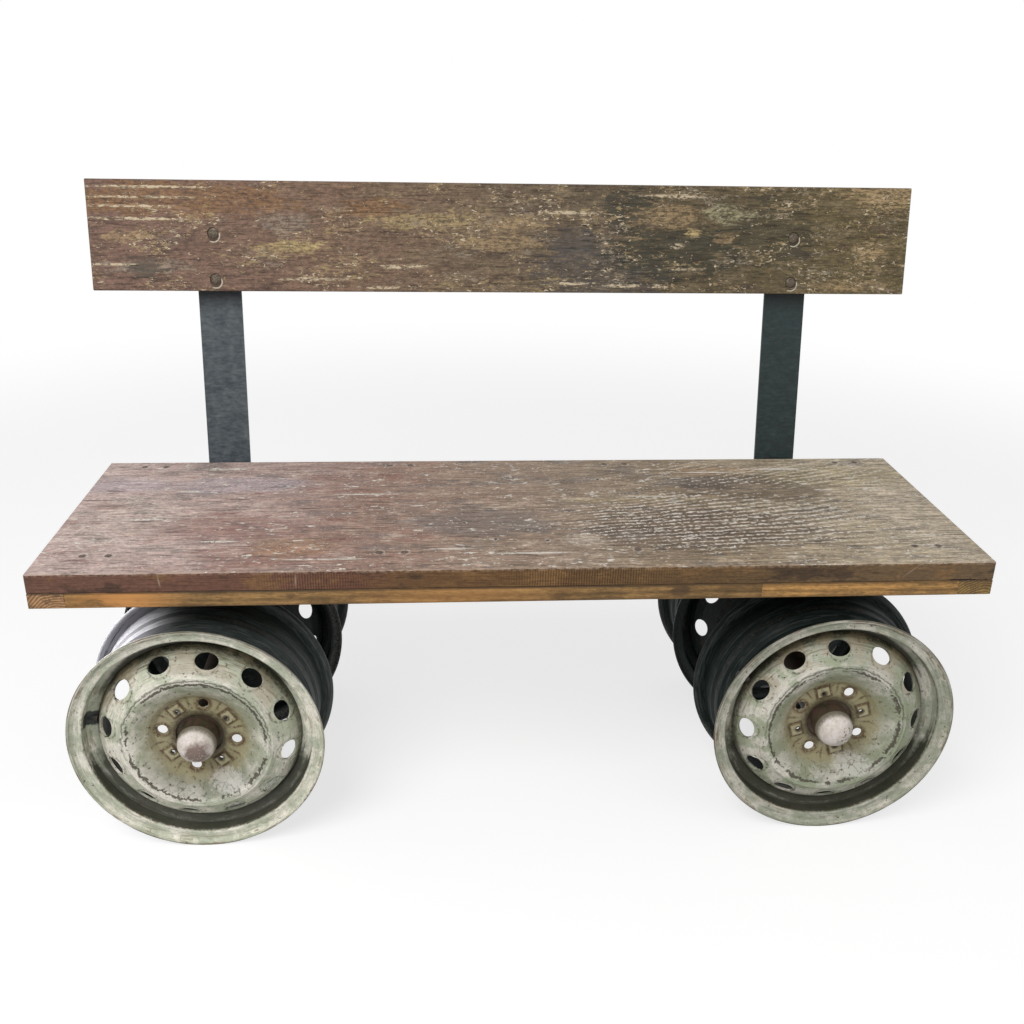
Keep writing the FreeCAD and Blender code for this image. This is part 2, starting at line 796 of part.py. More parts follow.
# The rubber stub of a tyre valve fills the hole, from just outside the disc's skirt to the bead seat.
VALVE_START = SKIRT_RADIUS + S.valve_clearance
valve_stub = make(
    "Part::Cylinder", "valve_stub",
    Radius=S.valve_radius - S.valve_fit, Height=BEAD_RADIUS - VALVE_START,
)
place(valve_stub, -VALVE_START, VALVE_DEPTH, 0, axis=REAR, turn=-QUARTER_TURN)


def out_from_dish(share):
    """A radius of the disc at a share of the way from its dish to its skirt."""
    return S.dish_radius + (SKIRT_RADIUS - S.dish_radius) * share


VENT_RING = out_from_dish(VENT_RING_SHARE)
VENT_REACH = (SKIRT_RADIUS - S.dish_radius) * VENT_LENGTH_SHARE
disc_section = sheet_metal(
    "disc_section",
    [
        (S.hub_depth, S.bore_radius),
        (S.hub_depth, S.hub_radius),
        (S.dish_depth, S.dish_radius),
        (S.crest_shoulder - S.crest_rise, out_from_dish(CREASE_SHARE)),
        *[(-S.crest_rise, out_from_dish(share)) for share in CREST_SHARES],
        (S.crest_shoulder, out_from_dish(CREST_FOOT_SHARE)),
        (S.vent_depth, VENT_RING),
        (S.shoulder_depth, out_from_dish(SHOULDER_SHARE)),
        (S.skirt_start, SKIRT_RADIUS),
        (S.skirt_end, SKIRT_RADIUS),
    ],
    S.disc_gauge,
)
disc_whole = spin("disc_whole", disc_section)
pad_form = make(
    "Part::Box", "pad_form",
    Length=S.pad_length, Width=S.pad_rise + S.disc_gauge / 2, Height=S.pad_width,
)
place(pad_form, S.pad_ring - S.pad_length / 2, S.hub_depth - S.pad_rise, -S.pad_width / 2)
pads = ring_of(pad_form, "pad", LUGS, PAD_START_SHARE)
disc_padded = fuse("disc_padded", [disc_whole] + pads)

# A vent is punched square to the slope that it lies on, here the one above the axle.
vent_outline = make(
    "Part::Ellipse", "vent_outline", MajorRadius=VENT_REACH, MinorRadius=VENT_REACH * VENT_OVAL_SHARE
)
punch_reach = S.disc_gauge + S.overrun
vent_punch = make("Part::Extrusion", "vent_punch", LengthFwd=punch_reach, LengthRev=punch_reach)
vent_punch.Base = vent_outline
vent_punch.DirMode = "Custom"
vent_punch.Dir = UP
vent_punch.Solid = True
vent_drill = copy_of(vent_punch, "vent_drill")
place(
    vent_drill, depth=S.vent_depth, height=VENT_RING,
    axis=RIGHT, turn=as_size(QUARTER_TURN) - S.vent_tilt_angle,
)
lug_drill = make(
    "Part::Cylinder", "lug_drill", Radius=S.lug_radius, Height=S.disc_gauge + S.overrun * 2
)
place(lug_drill, S.lug_ring, S.hub_depth - S.overrun, 0, axis=RIGHT, turn=-QUARTER_TURN)
lug_seat = make(
    "Part::Cone", "lug_seat", Radius1=S.lug_seat_radius, Radius2=S.lug_radius, Height=S.lug_seat_depth
)
place(lug_seat, S.lug_ring, S.hub_depth, 0, axis=RIGHT, turn=-QUARTER_TURN)
lug_tool = fuse("lug_tool", [lug_drill, lug_seat])
pad_drill = make(
    "Part::Cylinder", "pad_drill",
    Radius=S.pad_hole_radius, Height=S.pad_rise + S.disc_gauge + S.overrun * 2,
)
place(
    pad_drill, S.pad_hole_ring, S.hub_depth - S.pad_rise - S.overrun, 0,
    axis=RIGHT, turn=-QUARTER_TURN,
)
disc_form = cut(
    "disc_form", disc_padded,
    ring_of(vent_drill, "vent", VENTS)
    + ring_of(lug_tool, "lug_hole", LUGS)
    + ring_of(pad_drill, "pad_hole", LUGS, PAD_START_SHARE),
)

# Axle pipes with domed ends, and a collar behind each disc with its fillet beads

PIPE_START = FRONT_LIP + S.pipe_inset
DISC_BACK = S.hub_depth + S.disc_gauge
PIPE_END = REAR_LIP + DISC_BACK + S.collar_gauge + S.pipe_tail
pipe_outer = make(
    "Part::Cylinder", "pipe_outer", Radius=S.pipe_radius, Height=PIPE_END - PIPE_START
)
pipe_inner = make(
    "Part::Cylinder", "pipe_inner",
    Radius=S.pipe_radius - S.pipe_wall, Height=PIPE_END - PIPE_START + S.overrun * 2,
)
place(pipe_inner, height=-S.overrun)
pipe_form = cut("pipe_form", pipe_outer, [pipe_inner])
dome_outer = make("Part::Sphere", "dome_outer", Radius=S.pipe_radius)
dome_inner = make("Part::Sphere", "dome_inner", Radius=S.pipe_radius - S.pipe_wall)
for dome in (dome_outer, dome_inner):
    dome.Angle1 = 0
dome_form = cut("dome_form", dome_outer, [dome_inner])
collar_blank = make("Part::Cylinder", "collar_blank", Radius=S.collar_radius, Height=S.collar_gauge)
collar_bore = make(
    "Part::Cylinder", "collar_bore", Radius=S.pipe_radius, Height=S.collar_gauge + S.overrun * 2
)
place(collar_bore, height=-S.overrun)
collar_form = cut("collar_form", collar_blank, [collar_bore])
pipe_bead = turned_section(
    "pipe_bead_form",
    [(S.pipe_radius, 0), (S.pipe_radius + S.collar_bead, 0), (S.pipe_radius, S.collar_bead)],
)
rim_bead = turned_section(
    "rim_bead_form",
    [
        (S.collar_radius, 0),
        (S.collar_radius, -S.collar_gauge),
        (S.collar_radius + S.collar_bead, -S.collar_gauge),
    ],
)

# Each rim's lip, and where the beads that hold it to the bearer start.
bead_set_back = S.rim_width - S.flange_bead_run
pair_of_rims = (
    ("front", FRONT_LIP, [FRONT_LIP + bead_set_back]),
    ("rear", REAR_LIP, [REAR_LIP, REAR_LIP + bead_set_back]),
)
valves = []
for side_name, side, clocking in (("left", -1, S.left_turn_angle), ("right", 1, S.right_turn_angle)):
    across = WHEEL_PLACE * side
    pipe = copy_of(pipe_form, f"axle_pipe_{side_name}_placed")
    place(pipe, across, in_frame(PIPE_START), S.rim_radius, axis=RIGHT, turn=-QUARTER_TURN)
    keep(pipe, f"axle_pipe_{side_name}")
    front_cap = copy_of(dome_form, f"axle_cap_front_{side_name}_placed")
    place(front_cap, across, in_frame(PIPE_START), S.rim_radius, axis=RIGHT, turn=QUARTER_TURN)
    keep(front_cap, f"axle_cap_front_{side_name}")
    rear_cap = copy_of(dome_form, f"axle_cap_rear_{side_name}_placed")
    place(rear_cap, across, in_frame(PIPE_END), S.rim_radius, axis=RIGHT, turn=-QUARTER_TURN)
    keep(rear_cap, f"axle_cap_rear_{side_name}")
    ring_beads = []
    flange_bead_cuts = []
    for row_name, lip, bead_starts in pair_of_rims:
        label = f"{row_name}_{side_name}"
        barrel = copy_of(barrel_form, f"rim_barrel_{label}_placed")
        place(barrel, across, in_frame(lip), S.rim_radius, axis=REAR, turn=clocking)
        keep(barrel, f"rim_barrel_{label}")
        disc = copy_of(disc_form, f"rim_disc_{label}_placed")
        place(disc, across, in_frame(lip), S.rim_radius, axis=REAR, turn=clocking)
        keep(disc, f"rim_disc_{label}")
        valve = copy_of(valve_stub, f"valve_{label}")
        valves.append(place(valve, across, in_frame(lip), S.rim_radius, axis=REAR, turn=clocking))
        collar = copy_of(collar_form, f"axle_collar_{label}_placed")
        place(collar, across, in_frame(lip + DISC_BACK), S.rim_radius, axis=RIGHT, turn=-QUARTER_TURN)
        keep(collar, f"axle_collar_{label}")
        for bead in (pipe_bead, rim_bead):
            ring = copy_of(bead, f"{bead.Name}_{label}")
            behind = lip + DISC_BACK + S.collar_gauge
            place(ring, across, in_frame(behind), S.rim_radius, axis=RIGHT, turn=-QUARTER_TURN)
            ring_beads.append(ring)
        for number, start in enumerate(bead_starts, start=1):
            for flank, half in (("l", -1), ("r", 1)):
                blob = make(
                    "Part::Cylinder", f"flange_bead_{label}_{number}_{flank}",
                    Radius=S.flange_bead_radius, Height=S.flange_bead_run,
                )
                place(
                    blob, BAR_PLACE * side + S.bearer_width * half / 2, in_frame(start),
                    BEARER_FOOT, axis=RIGHT, turn=-QUARTER_TURN,
                )
                seated = cut(f"{blob.Name}_seated", blob, [bearers_filled[side_name], barrel])
                flange_bead_cuts.append(seated)
    keep(group(f"collar_beads_{side_name}", ring_beads), f"collar_welds_{side_name}")
    keep(group(f"flange_beads_{side_name}", flange_bead_cuts), f"bearer_welds_{side_name}")
keep(group("valve_set", valves), "tyre_valves")

doc.recompute()

# Every object has to be sound, and every piece a valid solid, before it is written.
for item in doc.Objects:
    if "Invalid" in item.State or "Error" in item.State:
        raise RuntimeError(f"{item.Name} failed: {item.State}")
for piece in nodes:
    if piece.Shape.isNull() or not piece.Shape.isValid() or not piece.Shape.Solids:
        raise RuntimeError(f"{piece.Label} has no valid solid")

os.makedirs("parts", exist_ok=True)
for piece in nodes:
    piece.Shape.exportStep(os.path.join("parts", piece.Label + ".step"))
box = Part.makeCompound([piece.Shape for piece in nodes]).optimalBoundingBox(False)
print(len(nodes), "pieces;", "box", box)
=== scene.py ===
# %% [markdown]
# A plank bench on four steel rims. Two thick planks make the seat, a third board leans back on two
# bent flat bars, and four road-wheel rims carry everything. Every part is hard, so its exact shape
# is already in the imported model, which this script loads first. What is left is the finisher's
# work: weathered wood, chipped paint, rust and dirt, then light and camera.

# %% Load the exact shapes
import math
from functools import reduce

import bmesh
import bpy
from mathutils import Matrix, Vector


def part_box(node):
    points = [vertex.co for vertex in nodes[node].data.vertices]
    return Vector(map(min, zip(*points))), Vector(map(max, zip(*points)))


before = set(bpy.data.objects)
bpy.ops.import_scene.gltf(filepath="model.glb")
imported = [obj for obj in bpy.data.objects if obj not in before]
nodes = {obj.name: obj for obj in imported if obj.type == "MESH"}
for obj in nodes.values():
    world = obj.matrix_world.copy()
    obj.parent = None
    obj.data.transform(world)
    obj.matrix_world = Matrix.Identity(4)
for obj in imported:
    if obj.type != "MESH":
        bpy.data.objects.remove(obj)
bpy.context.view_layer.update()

SIDES = ("left", "right")

# %% [markdown]
# A real finish is never one colour, and mixing patterns takes a lot of arithmetic in the shader.
# Wiring each Math node by hand hides what is going on, so one small class wraps a node's output and
# lets Python's own signs add the nodes. Any other node comes from its method `node`.

# %% Shader sums as plain expressions
class Signal:
    """One output of a shader node, which takes part in sums as a number does."""

    def __init__(self, socket):
        self.tree = socket.id_data
        self.socket = socket

    def node(self, kind, sockets=None, settings=None, output=0):
        made = self.tree.nodes.new("ShaderNode" + kind)
        for name, value in (settings or {}).items():
            setattr(made, name, value)
        for name, value in (sockets or {}).items():
            if isinstance(value, Signal):
                self.tree.links.new(value.socket, made.inputs[name])
            else:
                made.inputs[name].default_value = value
        return Signal(made.outputs[output])

    def maths(self, operation, *others):
        values = dict(enumerate((self, *others)))
        return self.node("Math", values, {"operation": operation})

    def __add__(self, other):
        return self.maths("ADD", other)

    __radd__ = __add__

    def __sub__(self, other):
        return self.maths("SUBTRACT", other)

    def __rsub__(self, other):
        return self.maths("MULTIPLY_ADD", -1.0, other)

    def __mul__(self, other):
        return self.maths("MULTIPLY", other)

    def __truediv__(self, other):
        return self.maths("DIVIDE", other)

    def __mod__(self, other):
        return self.maths("FLOORED_MODULO", other)

    def __pow__(self, power):
        return self.maths("POWER", power)

    def __abs__(self):
        return self.maths("ABSOLUTE")


print("signals take part in sums, powers and remainders")

# %% [markdown]
# Nearly every pattern here is built from a few things: a smooth step between two values, a cloudy
# noise that can be stretched along the grain, coats of colour laid on by masks, a colour made
# lighter or darker. Coordinates are in metres and the same for all the pieces, so the sizes below
# are real sizes. A noise stays close to a half, so `swing` widens it into a factor well below and
# above 1: weathered wood has far more contrast than one expects.

# %% Steps, noise and blends
def step(value, low, high):
    """From 0 below low to 1 above high with soft ends, or from 1 to 0 where low is the higher."""
    rising = float(low < high)
    sockets = {"Value": value, "From Min": min(low, high), "From Max": max(low, high)}
    sockets |= {"To Min": 1 - rising, "To Max": rising}
    return value.node("MapRange", sockets, {"interpolation_type": "SMOOTHSTEP"})


def near(value, place, reach):
    """1 at a place and 0 further from it than reach."""
    return step(abs(value - place), reach, 0.0)


def least(first, second):
    return first.maths("MINIMUM", second)


def most(first, second):
    return first.maths("MAXIMUM", second)


def noise(spot, size, stretch=(1, 1, 1), detail=3, rough=0.55, seed=0, twist=0):
    """Clouds about as wide as size, drawn out by stretch along X, Y and Z."""
    sockets = {"Vector": spot, "Location": (seed, seed * 0.7, -seed)}
    sockets["Scale"] = tuple(1 / share for share in stretch)
    moved = spot.node("Mapping", sockets)
    sockets = {"Vector": moved, "Scale": 1 / size, "Detail": detail, "Roughness": rough}
    sockets["Distortion"] = twist
    return spot.node("TexNoise", sockets)


def swing(value, amount):
    """A factor of 1 where a noise is at its middle, and further from 1 by the amount."""
    return value * amount + (1 - amount / 2)


def blend(under, over, mask):
    """The colour under, covered by the colour over where the mask is 1."""
    sockets = {0: mask}
    for number, value in ((6, under), (7, over)):
        sockets[number] = value if isinstance(value, Signal) else (*value, 1.0)
    return mask.node("Mix", sockets, {"data_type": "RGBA"}, output=2)


def layered(colour, *coats):
    """A colour under coats, each given as its colour and the mask that shows it."""
    for over, mask in coats:
        colour = blend(colour, over, mask)
    return colour


def shaded(colour, amount):
    """A colour made darker or lighter by an amount near 1."""
    return colour.node("VectorMath", {0: colour, "Scale": amount}, {"operation": "SCALE"})


def graded(value, *stops):
    """A colour that runs through stops of position and colour."""
    made = value.node("ValToRGB", {0: value})
    elements = made.socket.node.color_ramp.elements
    for _ in stops[2:]:
        elements.new(1.0)
    for element, (position, colour) in zip(elements, stops):
        element.position = position
        element.color = (*colour, 1.0)
    return made


print("patterns can be stepped, stretched and blended")

# %% [markdown]
# Two questions come up on every piece: where is this spot, and which way does its surface face?
# The first tells the top of a plank from its front edge, and the second the inside of a rolled
# sheet from its outside.

# %% Places and directions
def places(spot):
    """The X, Y and Z of the spot."""
    return [spot.node("SeparateXYZ", {0: spot}, output=axis) for axis in range(3)]


def vector_sum(operation, first, second, output=0):
    return first.node("VectorMath", {0: first, 1: second}, {"operation": operation}, output)


def normal_at(spot):
    return spot.node("NewGeometry", output="Normal")


def facing(spot, direction):
    """1 where the surface faces a direction, 0 where it lies side-on to it."""
    return vector_sum("DOT_PRODUCT", normal_at(spot), direction, output="Value")


def length_of(vector):
    return vector_sum("LENGTH", vector, (0, 0, 0), output="Value")


def distance(first, second):
    """How far a spot is, from its distances along two axes."""
    return (first * first + second * second) ** 0.5


def new_finish(name):
    """An empty finish, and the spot that is painted."""
    material = bpy.data.materials.new(name)
    material.use_nodes = True
    reader = material.node_tree.nodes.new("ShaderNodeTexCoord")
    return material, Signal(reader.outputs["Object"])


def lay(material, colour, roughness, height, depth, gloss=0.5, metallic=0.0):
    """Connect a finish: its colour, its roughness and its relief, as deep as depth in metres."""
    tree = material.node_tree
    surface = tree.nodes["Principled BSDF"]
    tree.links.new(colour.socket, surface.inputs["Base Color"])
    tree.links.new(roughness.socket, surface.inputs["Roughness"])
    surface.inputs["Specular IOR Level"].default_value = gloss
    surface.inputs["Metallic"].default_value = metallic
    relief = height.node("Bump", {"Height": height, "Strength": 1.0, "Distance": depth})
    tree.links.new(relief.socket, surface.inputs["Normal"])
    return material


def both_sides(*kinds):
    return [f"{kind}_{side}" for kind in kinds for side in SIDES]


def wear(material, names):
    """Give a finish to pieces of the bench."""
    for name in names:
        nodes[name].data.materials.clear()
        nodes[name].data.materials.append(material)
    print(material.name, "on", ", ".join(names))


# %% [markdown]
# Reclaimed boards show their age in layers. Under everything are the growth rings, round a pith
# line that runs along the grain, so one pattern makes stripes on the faces and arcs on the end
# grain. Over them lie fine fibres, and over those the marks of use. The largest are listed one by
# one: `patch` makes a spot with a ragged edge, and `scratch` a thin line.

# %% Rings, fibres, patches and scratches
ALONG = {"x": (1, 0, 0), "y": (0, 1, 0)}


def drawn(grain, length):
    """A stretch along the grain."""
    return tuple(length if share else 1 for share in ALONG[grain])


def growth(spot, grain, pith, ring, wander):
    """Rings of one tree: a number from 0 to 1 that repeats outwards from the pith."""
    flat = vector_sum("MULTIPLY", spot, tuple(1 - share for share in ALONG[grain]))
    reach = vector_sum("DISTANCE", flat, pith, output="Value")
    drift = noise(spot, 0.05, drawn(grain, 9), detail=2, seed=pith[2] * 31)
    turns = (reach + drift * wander) * (2 * math.pi / ring)
    return turns.maths("SINE") * 0.5 + 0.5


def fibres(spot, grain, size, seed):
    """Hair-fine lines along the grain."""
    return noise(spot, size, drawn(grain, 30), detail=4, rough=0.65, seed=seed)


def patch(spot, place, reach, ragged, torn=2.6, soft=0.3):
    """1 within an ellipse about a place, with an edge torn by a noise. A reach of 0 is endless."""
    offset = vector_sum("SUBTRACT", spot, place)
    away = length_of(vector_sum("MULTIPLY", offset, tuple(1 / r if r else 0.0 for r in reach)))
    return step(away + (ragged - 0.5) * torn, 1.05 + soft, 1.05 - soft)


def scratch(first, second, start, end, width):
    """1 on a thin line between two places, given in the plane of two coordinates."""
    run = Vector(end) - Vector(start)
    way = run.normalized()
    along = first * way.x + second * way.y - way.dot(start)
    beside = first * way.y - second * way.x - (start[0] * way.y - start[1] * way.x)
    return near(beside, 0.0, width) * near(along, run.length / 2, run.length / 2)


print("wood has rings, fibres, patches and scratches")

# %% [markdown]
# The top of the seat has been rained on and limed: a brown ground, redder at the left and greyer at
# the right, under whitish flecks that follow the grain and a painted lavender reflection at the back
# left. Right of the middle the old saw's rows still hold white paint. The front edge kept more of
# its dark varnish, and the arris between them is rubbed pale.

# %% Marks on the seat
seat_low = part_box("seat_plank_front")[0]
seat_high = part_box("seat_plank_rear")[1]
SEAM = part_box("seat_plank_front")[1].y
SCREW_COLUMNS = (0.199, 0.64)
SCREW_ROWS = (seat_low.y + 0.0617, seat_low.y + 0.4405)
SCREW_HALF_PITCH = 0.019
NAIL_HOLES = ((-0.039, -0.152), (-0.087, -0.087), (0.043, -0.159), (0.182, 0.18), (0.157, 0.104))
SAW_ROW_PITCH = 0.0122
SAW_ROW_FIELDS = ((0.34, -0.09, 0.24, 0.11, 1.0), (0.5, 0.11, 0.15, 0.05, 0.85))
EDGE_SAW_PITCH = 0.0039

LAVENDER_REFLECTION = (0.52, 0.45, 0.49)
LIME = (0.6, 0.52, 0.44)
LIMEWASH = (0.84, 0.77, 0.68)
SCRAPED = (0.68, 0.6, 0.53)
SCORCH = (0.085, 0.054, 0.036)
SLATE = (0.15, 0.136, 0.132)
BRICK = (0.255, 0.118, 0.09)
OCHRE = (0.38, 0.22, 0.105)
STRAW = (0.44, 0.36, 0.2)
SEAT_GROUND = (
    (0.0, (0.56, 0.43, 0.39)), (0.25, (0.33, 0.215, 0.172)), (0.42, (0.35, 0.25, 0.188)),
    (0.6, (0.33, 0.25, 0.182)), (0.78, (0.285, 0.215, 0.142)), (1.0, (0.5, 0.415, 0.295)),
)
EDGE_GROUND = (
    (0.0, (0.15, 0.072, 0.05)), (0.26, (0.125, 0.056, 0.032)), (0.3, (0.15, 0.078, 0.034)),
    (0.55, (0.12, 0.062, 0.024)), (0.8, (0.12, 0.07, 0.031)), (1.0, (0.15, 0.096, 0.05)),
)
# Colour, strength, and two spots: X, Y and the reach along each
SEAT_MARKS = (
    # The two lavender spots at the back left are a painted reflection of window light.
    (LAVENDER_REFLECTION, 0.6, (-0.67, 0.09, 0.08, 0.035), (-0.47, 0.088, 0.1, 0.036)),
    (LIME, 0.3, (-0.63, -0.06, 0.085, 0.09), (0.67, -0.06, 0.075, 0.17)),
    (LIME, 0.55, (0.1, -0.155, 0.03, 0.026), (0.178, -0.146, 0.022, 0.018)),
    (BRICK, 0.5, (-0.46, -0.1, 0.11, 0.05), (-0.39, -0.21, 0.09, 0.03)),
    (OCHRE, 0.5, (-0.35, -0.175, 0.06, 0.035), (0.38, 0.14, 0.08, 0.024)),
    (SLATE, 0.62, (-0.06, -0.085, 0.11, 0.055), (0.34, 0.088, 0.075, 0.026)),
    (SCORCH, 0.7, (0.31, -0.12, 0.19, 0.08), (0.44, 0.06, 0.12, 0.07)),
    (STRAW, 0.55, (0.205, 0.006, 0.12, 0.01), (0.6, 0.11, 0.12, 0.05)),
)
LONG_FLECKS = (
    (-0.3, -0.218, 0.06, 0.003), (-0.112, -0.187, 0.034, 0.003), (-0.25, 0.041, 0.06, 0.0028),
    (0.02, -0.205, 0.06, 0.003), (-0.53, 0.167, 0.022, 0.005), (-0.491, 0.169, 0.018, 0.005),
    (-0.553, 0.06, 0.02, 0.0044), (-0.47, -0.15, 0.03, 0.0034), (0.5, 0.15, 0.04, 0.006),
    (0.36, 0.135, 0.05, 0.0032), (0.24, 0.02, 0.06, 0.003), (-0.6, -0.06, 0.04, 0.0034),
)
SCRATCH_WIDTH = 0.0016
SCRATCHES = (
    ((0.066, 0.03), (0.079, 0.052)), ((0.284, 0.132), (0.294, 0.1)), ((0.4, 0.118), (0.442, 0.056)),
)
EDGE_SCRATCHES = (
    ((0.576, 0.456), (0.609, 0.4825), 0.0016), ((-0.533, 0.455), (-0.536, 0.482), 0.0022),
    ((-0.339, 0.453), (-0.337, 0.482), 0.0026),
)
EDGE_SPLIT = ((0.68, 0, 0.4522), (0.03, 0, 0.0022))
print(sum(len(spots) for _, _, *spots in SEAT_MARKS), "worn spots on the seat")

# %% Seat planks
def screw_distance(x, y):
    """How far a spot on the seat is from the nearest screw."""
    sides = [abs(abs(x) - column) - SCREW_HALF_PITCH for column in SCREW_COLUMNS]
    return reduce(least, [distance(side, y - row) for side in sides for row in SCREW_ROWS])


def seat_patch(spot, mark, ragged):
    """A patch on the seat, from its X and Y and its reach along each."""
    x, y, wide, deep = mark
    return patch(spot, (x, y, 0), (wide, deep, 0), ragged)


def seat_ground(spot, x, seed, lines, streaks, grit):
    """The top of the seat before its flecks, and the noise that tears its worn spots."""
    clouds = noise(spot, 0.1, (1.8, 1, 1), detail=5, rough=0.62, seed=seed + 5)
    hues = noise(spot, 0.034, (2.6, 1, 1), detail=6, rough=0.66, seed=seed + 7)
    haze = noise(spot, 0.022, (1.9, 1, 1), detail=6, rough=0.72, seed=seed + 11)
    ground = layered(
        graded(step(x + clouds * 0.36 - 0.18, -0.76, 0.76), *SEAT_GROUND),
        (BRICK, step(hues, 0.53, 0.63) * step(x, 0.1, -0.25) * 0.48),
        (SLATE, step(hues, 0.47, 0.38) * 0.48),
        (LIME, step(haze, 0.55, 0.66) * 0.3),
    )
    ragged = hues * 0.45 + streaks * 0.55
    speckle = step(grit, 0.42, 0.58) * 0.5 + 0.5
    for colour, strength, *marks in SEAT_MARKS:
        for mark in marks:
            ground = blend(ground, colour, seat_patch(spot, mark, ragged) * speckle * strength)
    mottle = swing(haze, 1.3) * swing(grit, 2.3)
    drawn_out = (streaks - 0.5) * (step(x, -0.3, 0.3) * 1.8 + 0.5) + 1.0
    return shaded(ground, mottle * drawn_out * swing(lines, 1.5)), ragged


def seat_top(spot, x, y, seed, lines, streaks, grit):
    """The colour of the seat's top, and how far its flecks stand up."""
    ground, ragged = seat_ground(spot, x, seed, lines, streaks, grit)
    crowd = step(noise(spot, 0.055, (1.8, 1, 1), detail=3, seed=seed + 23), 0.42, 0.6)
    flecks = noise(spot, 0.0078, (2.3, 1, 1), detail=4, rough=0.68, seed=seed + 29, twist=0.3)
    flecks = step(flecks + crowd * 0.065, 0.652, 0.68)
    for mark in LONG_FLECKS:
        flecks = most(flecks, seat_patch(spot, mark, grit) * step(grit, 0.4, 0.48))
    fan = (x - 0.2) * (y * 0.8 + 0.24)
    bent = y - fan + noise(spot, 0.16, detail=1, seed=seed + 20) * 0.03
    rows = (bent * (2 * math.pi / SAW_ROW_PITCH)).maths("SINE")
    dots = noise(spot, 0.0038, (1.5, 1, 1), detail=3, rough=0.6, seed=seed + 21)
    field = crowd * step(x, 0.05, 0.3) * 0.5
    for *mark, share in SAW_ROW_FIELDS:
        field = most(field, seat_patch(spot, mark, ragged) * share)
    dashes = step(dots + rows * 0.11 + field * 0.15, 0.725, 0.755)
    white = most(flecks, dashes) * 0.92
    seam = near(y, SEAM, 0.0022) * step(x, -0.22, -0.08) * step(x, 0.34, 0.2)
    cracks = step(noise(spot, 0.003, (22, 1, 1), detail=3, rough=0.6, seed=seed + 31), 0.6, 0.655)
    ground = layered(
        shaded(ground, rows * field * 0.16 + 1.0),
        (LIMEWASH, white),
        ((0.05, 0.036, 0.028), seam * step(streaks, 0.4, 0.52) * 0.85),
        ((0.06, 0.04, 0.03), cracks * 0.75),
        *((SCRAPED, scratch(x, y, start, end, SCRATCH_WIDTH) * 0.75) for start, end in SCRATCHES),
    )
    for across, back in NAIL_HOLES:
        reach = distance(x - across, y - back)
        ground = layered(
            ground,
            ((0.66, 0.6, 0.55), near(reach, 0.0042, 0.002) * step(grit, 0.46, 0.56)),
            ((0.014, 0.01, 0.008), step(reach, 0.0034, 0.0022)),
        )
    away = screw_distance(x, y)
    ground = layered(
        ground,
        ((0.07, 0.048, 0.036), step(away, 0.0066, 0.0046) * 0.7),
        ((0.66, 0.6, 0.52), near(away, 0.0082, 0.0024) * step(grit, 0.48, 0.57) * 0.8),
    )
    return ground, white - cracks


def plank_edge(spot, x, z, seed, lines, grit):
    """The colour of a plank's edges, and its saw marks."""
    clouds = noise(spot, 0.04, (2.6, 1, 1), detail=6, rough=0.66, seed=seed + 41)
    edge = layered(
        graded(step(x + clouds * 0.2 - 0.1, -0.74, 0.74), *EDGE_GROUND),
        ((0.215, 0.118, 0.046), step(clouds, 0.53, 0.64) * 0.6),
        ((0.04, 0.024, 0.015), step(clouds, 0.455, 0.37) * 0.7),
    )
    edge = shaded(edge, swing(lines, 2.0) * swing(grit, 1.6))
    wobble = noise(spot, 0.02, detail=2, seed=3) * 0.003
    saw = ((x + wobble) * (2 * math.pi / EDGE_SAW_PITCH)).maths("SINE")
    sawn = most(near(x, 0.1, 0.17) * 1.6, near(x, -0.31, 0.11))
    marks = saw * least(sawn, 1.0) * step(facing(spot, (0, -1, 0)), 0.6, 0.9)
    edge = shaded(edge, 1.0 - marks * 0.36)
    for start, end, width in EDGE_SCRATCHES:
        edge = blend(edge, (0.4, 0.31, 0.22), scratch(x, z, start, end, width) * 0.6)
    return blend(edge, (0.006, 0.004, 0.003), patch(spot, *EDGE_SPLIT, grit)), marks


def plank_finish(name, seed):
    material, spot = new_finish(name)
    x, y, z = places(spot)
    lines = fibres(spot, "x", 0.0016, seed)
    streaks = noise(spot, 0.007, (8, 1, 1), detail=5, rough=0.64, seed=seed + 2, twist=0.4)
    grit = noise(spot, 0.0042, (1.8, 1, 1), detail=5, rough=0.72, seed=seed + 3)
    ground, stand = seat_top(spot, x, y, seed, lines, streaks, grit)
    edge, marks = plank_edge(spot, x, z, seed, lines, grit)
    wear_and_reflection = noise(spot, 0.03, detail=3, seed=seed + 4)
    top = step(z + wear_and_reflection * 0.002, seat_high.z - 0.001, seat_high.z + 0.0002)
    arris = step(y, seat_low.y + 0.007, seat_low.y + 0.001)
    arris = arris * step(z, seat_high.z - 0.006, seat_high.z - 0.001)
    colour = layered(
        edge, (ground, top), ((0.4, 0.29, 0.21), arris * step(grit, 0.46, 0.56) * 0.6)
    )
    height = streaks * 0.5 + lines * 0.35 + stand * 0.3 + marks * 0.1
    return lay(material, colour, 0.52 + grit * 0.3, height, 0.0012, gloss=0.28)


wear(plank_finish("weathered_front_plank", 1), ["seat_plank_front"])
wear(plank_finish("weathered_rear_plank", 7), ["seat_plank_rear"])

# %% [markdown]
# The layer under the planks is younger wood, oiled to a golden brown. Each length has a tone of its
# own, and the end battens show their end grain at the front. Dirt has settled along the seam under
# the planks and in stains along the grain.

# %% Rail and battens
RAIL_KNOT = ((0.236, 0, 0.44), (0.014, 0, 0.008))
BATTEN_FOOT = (0.43, 0.4272)


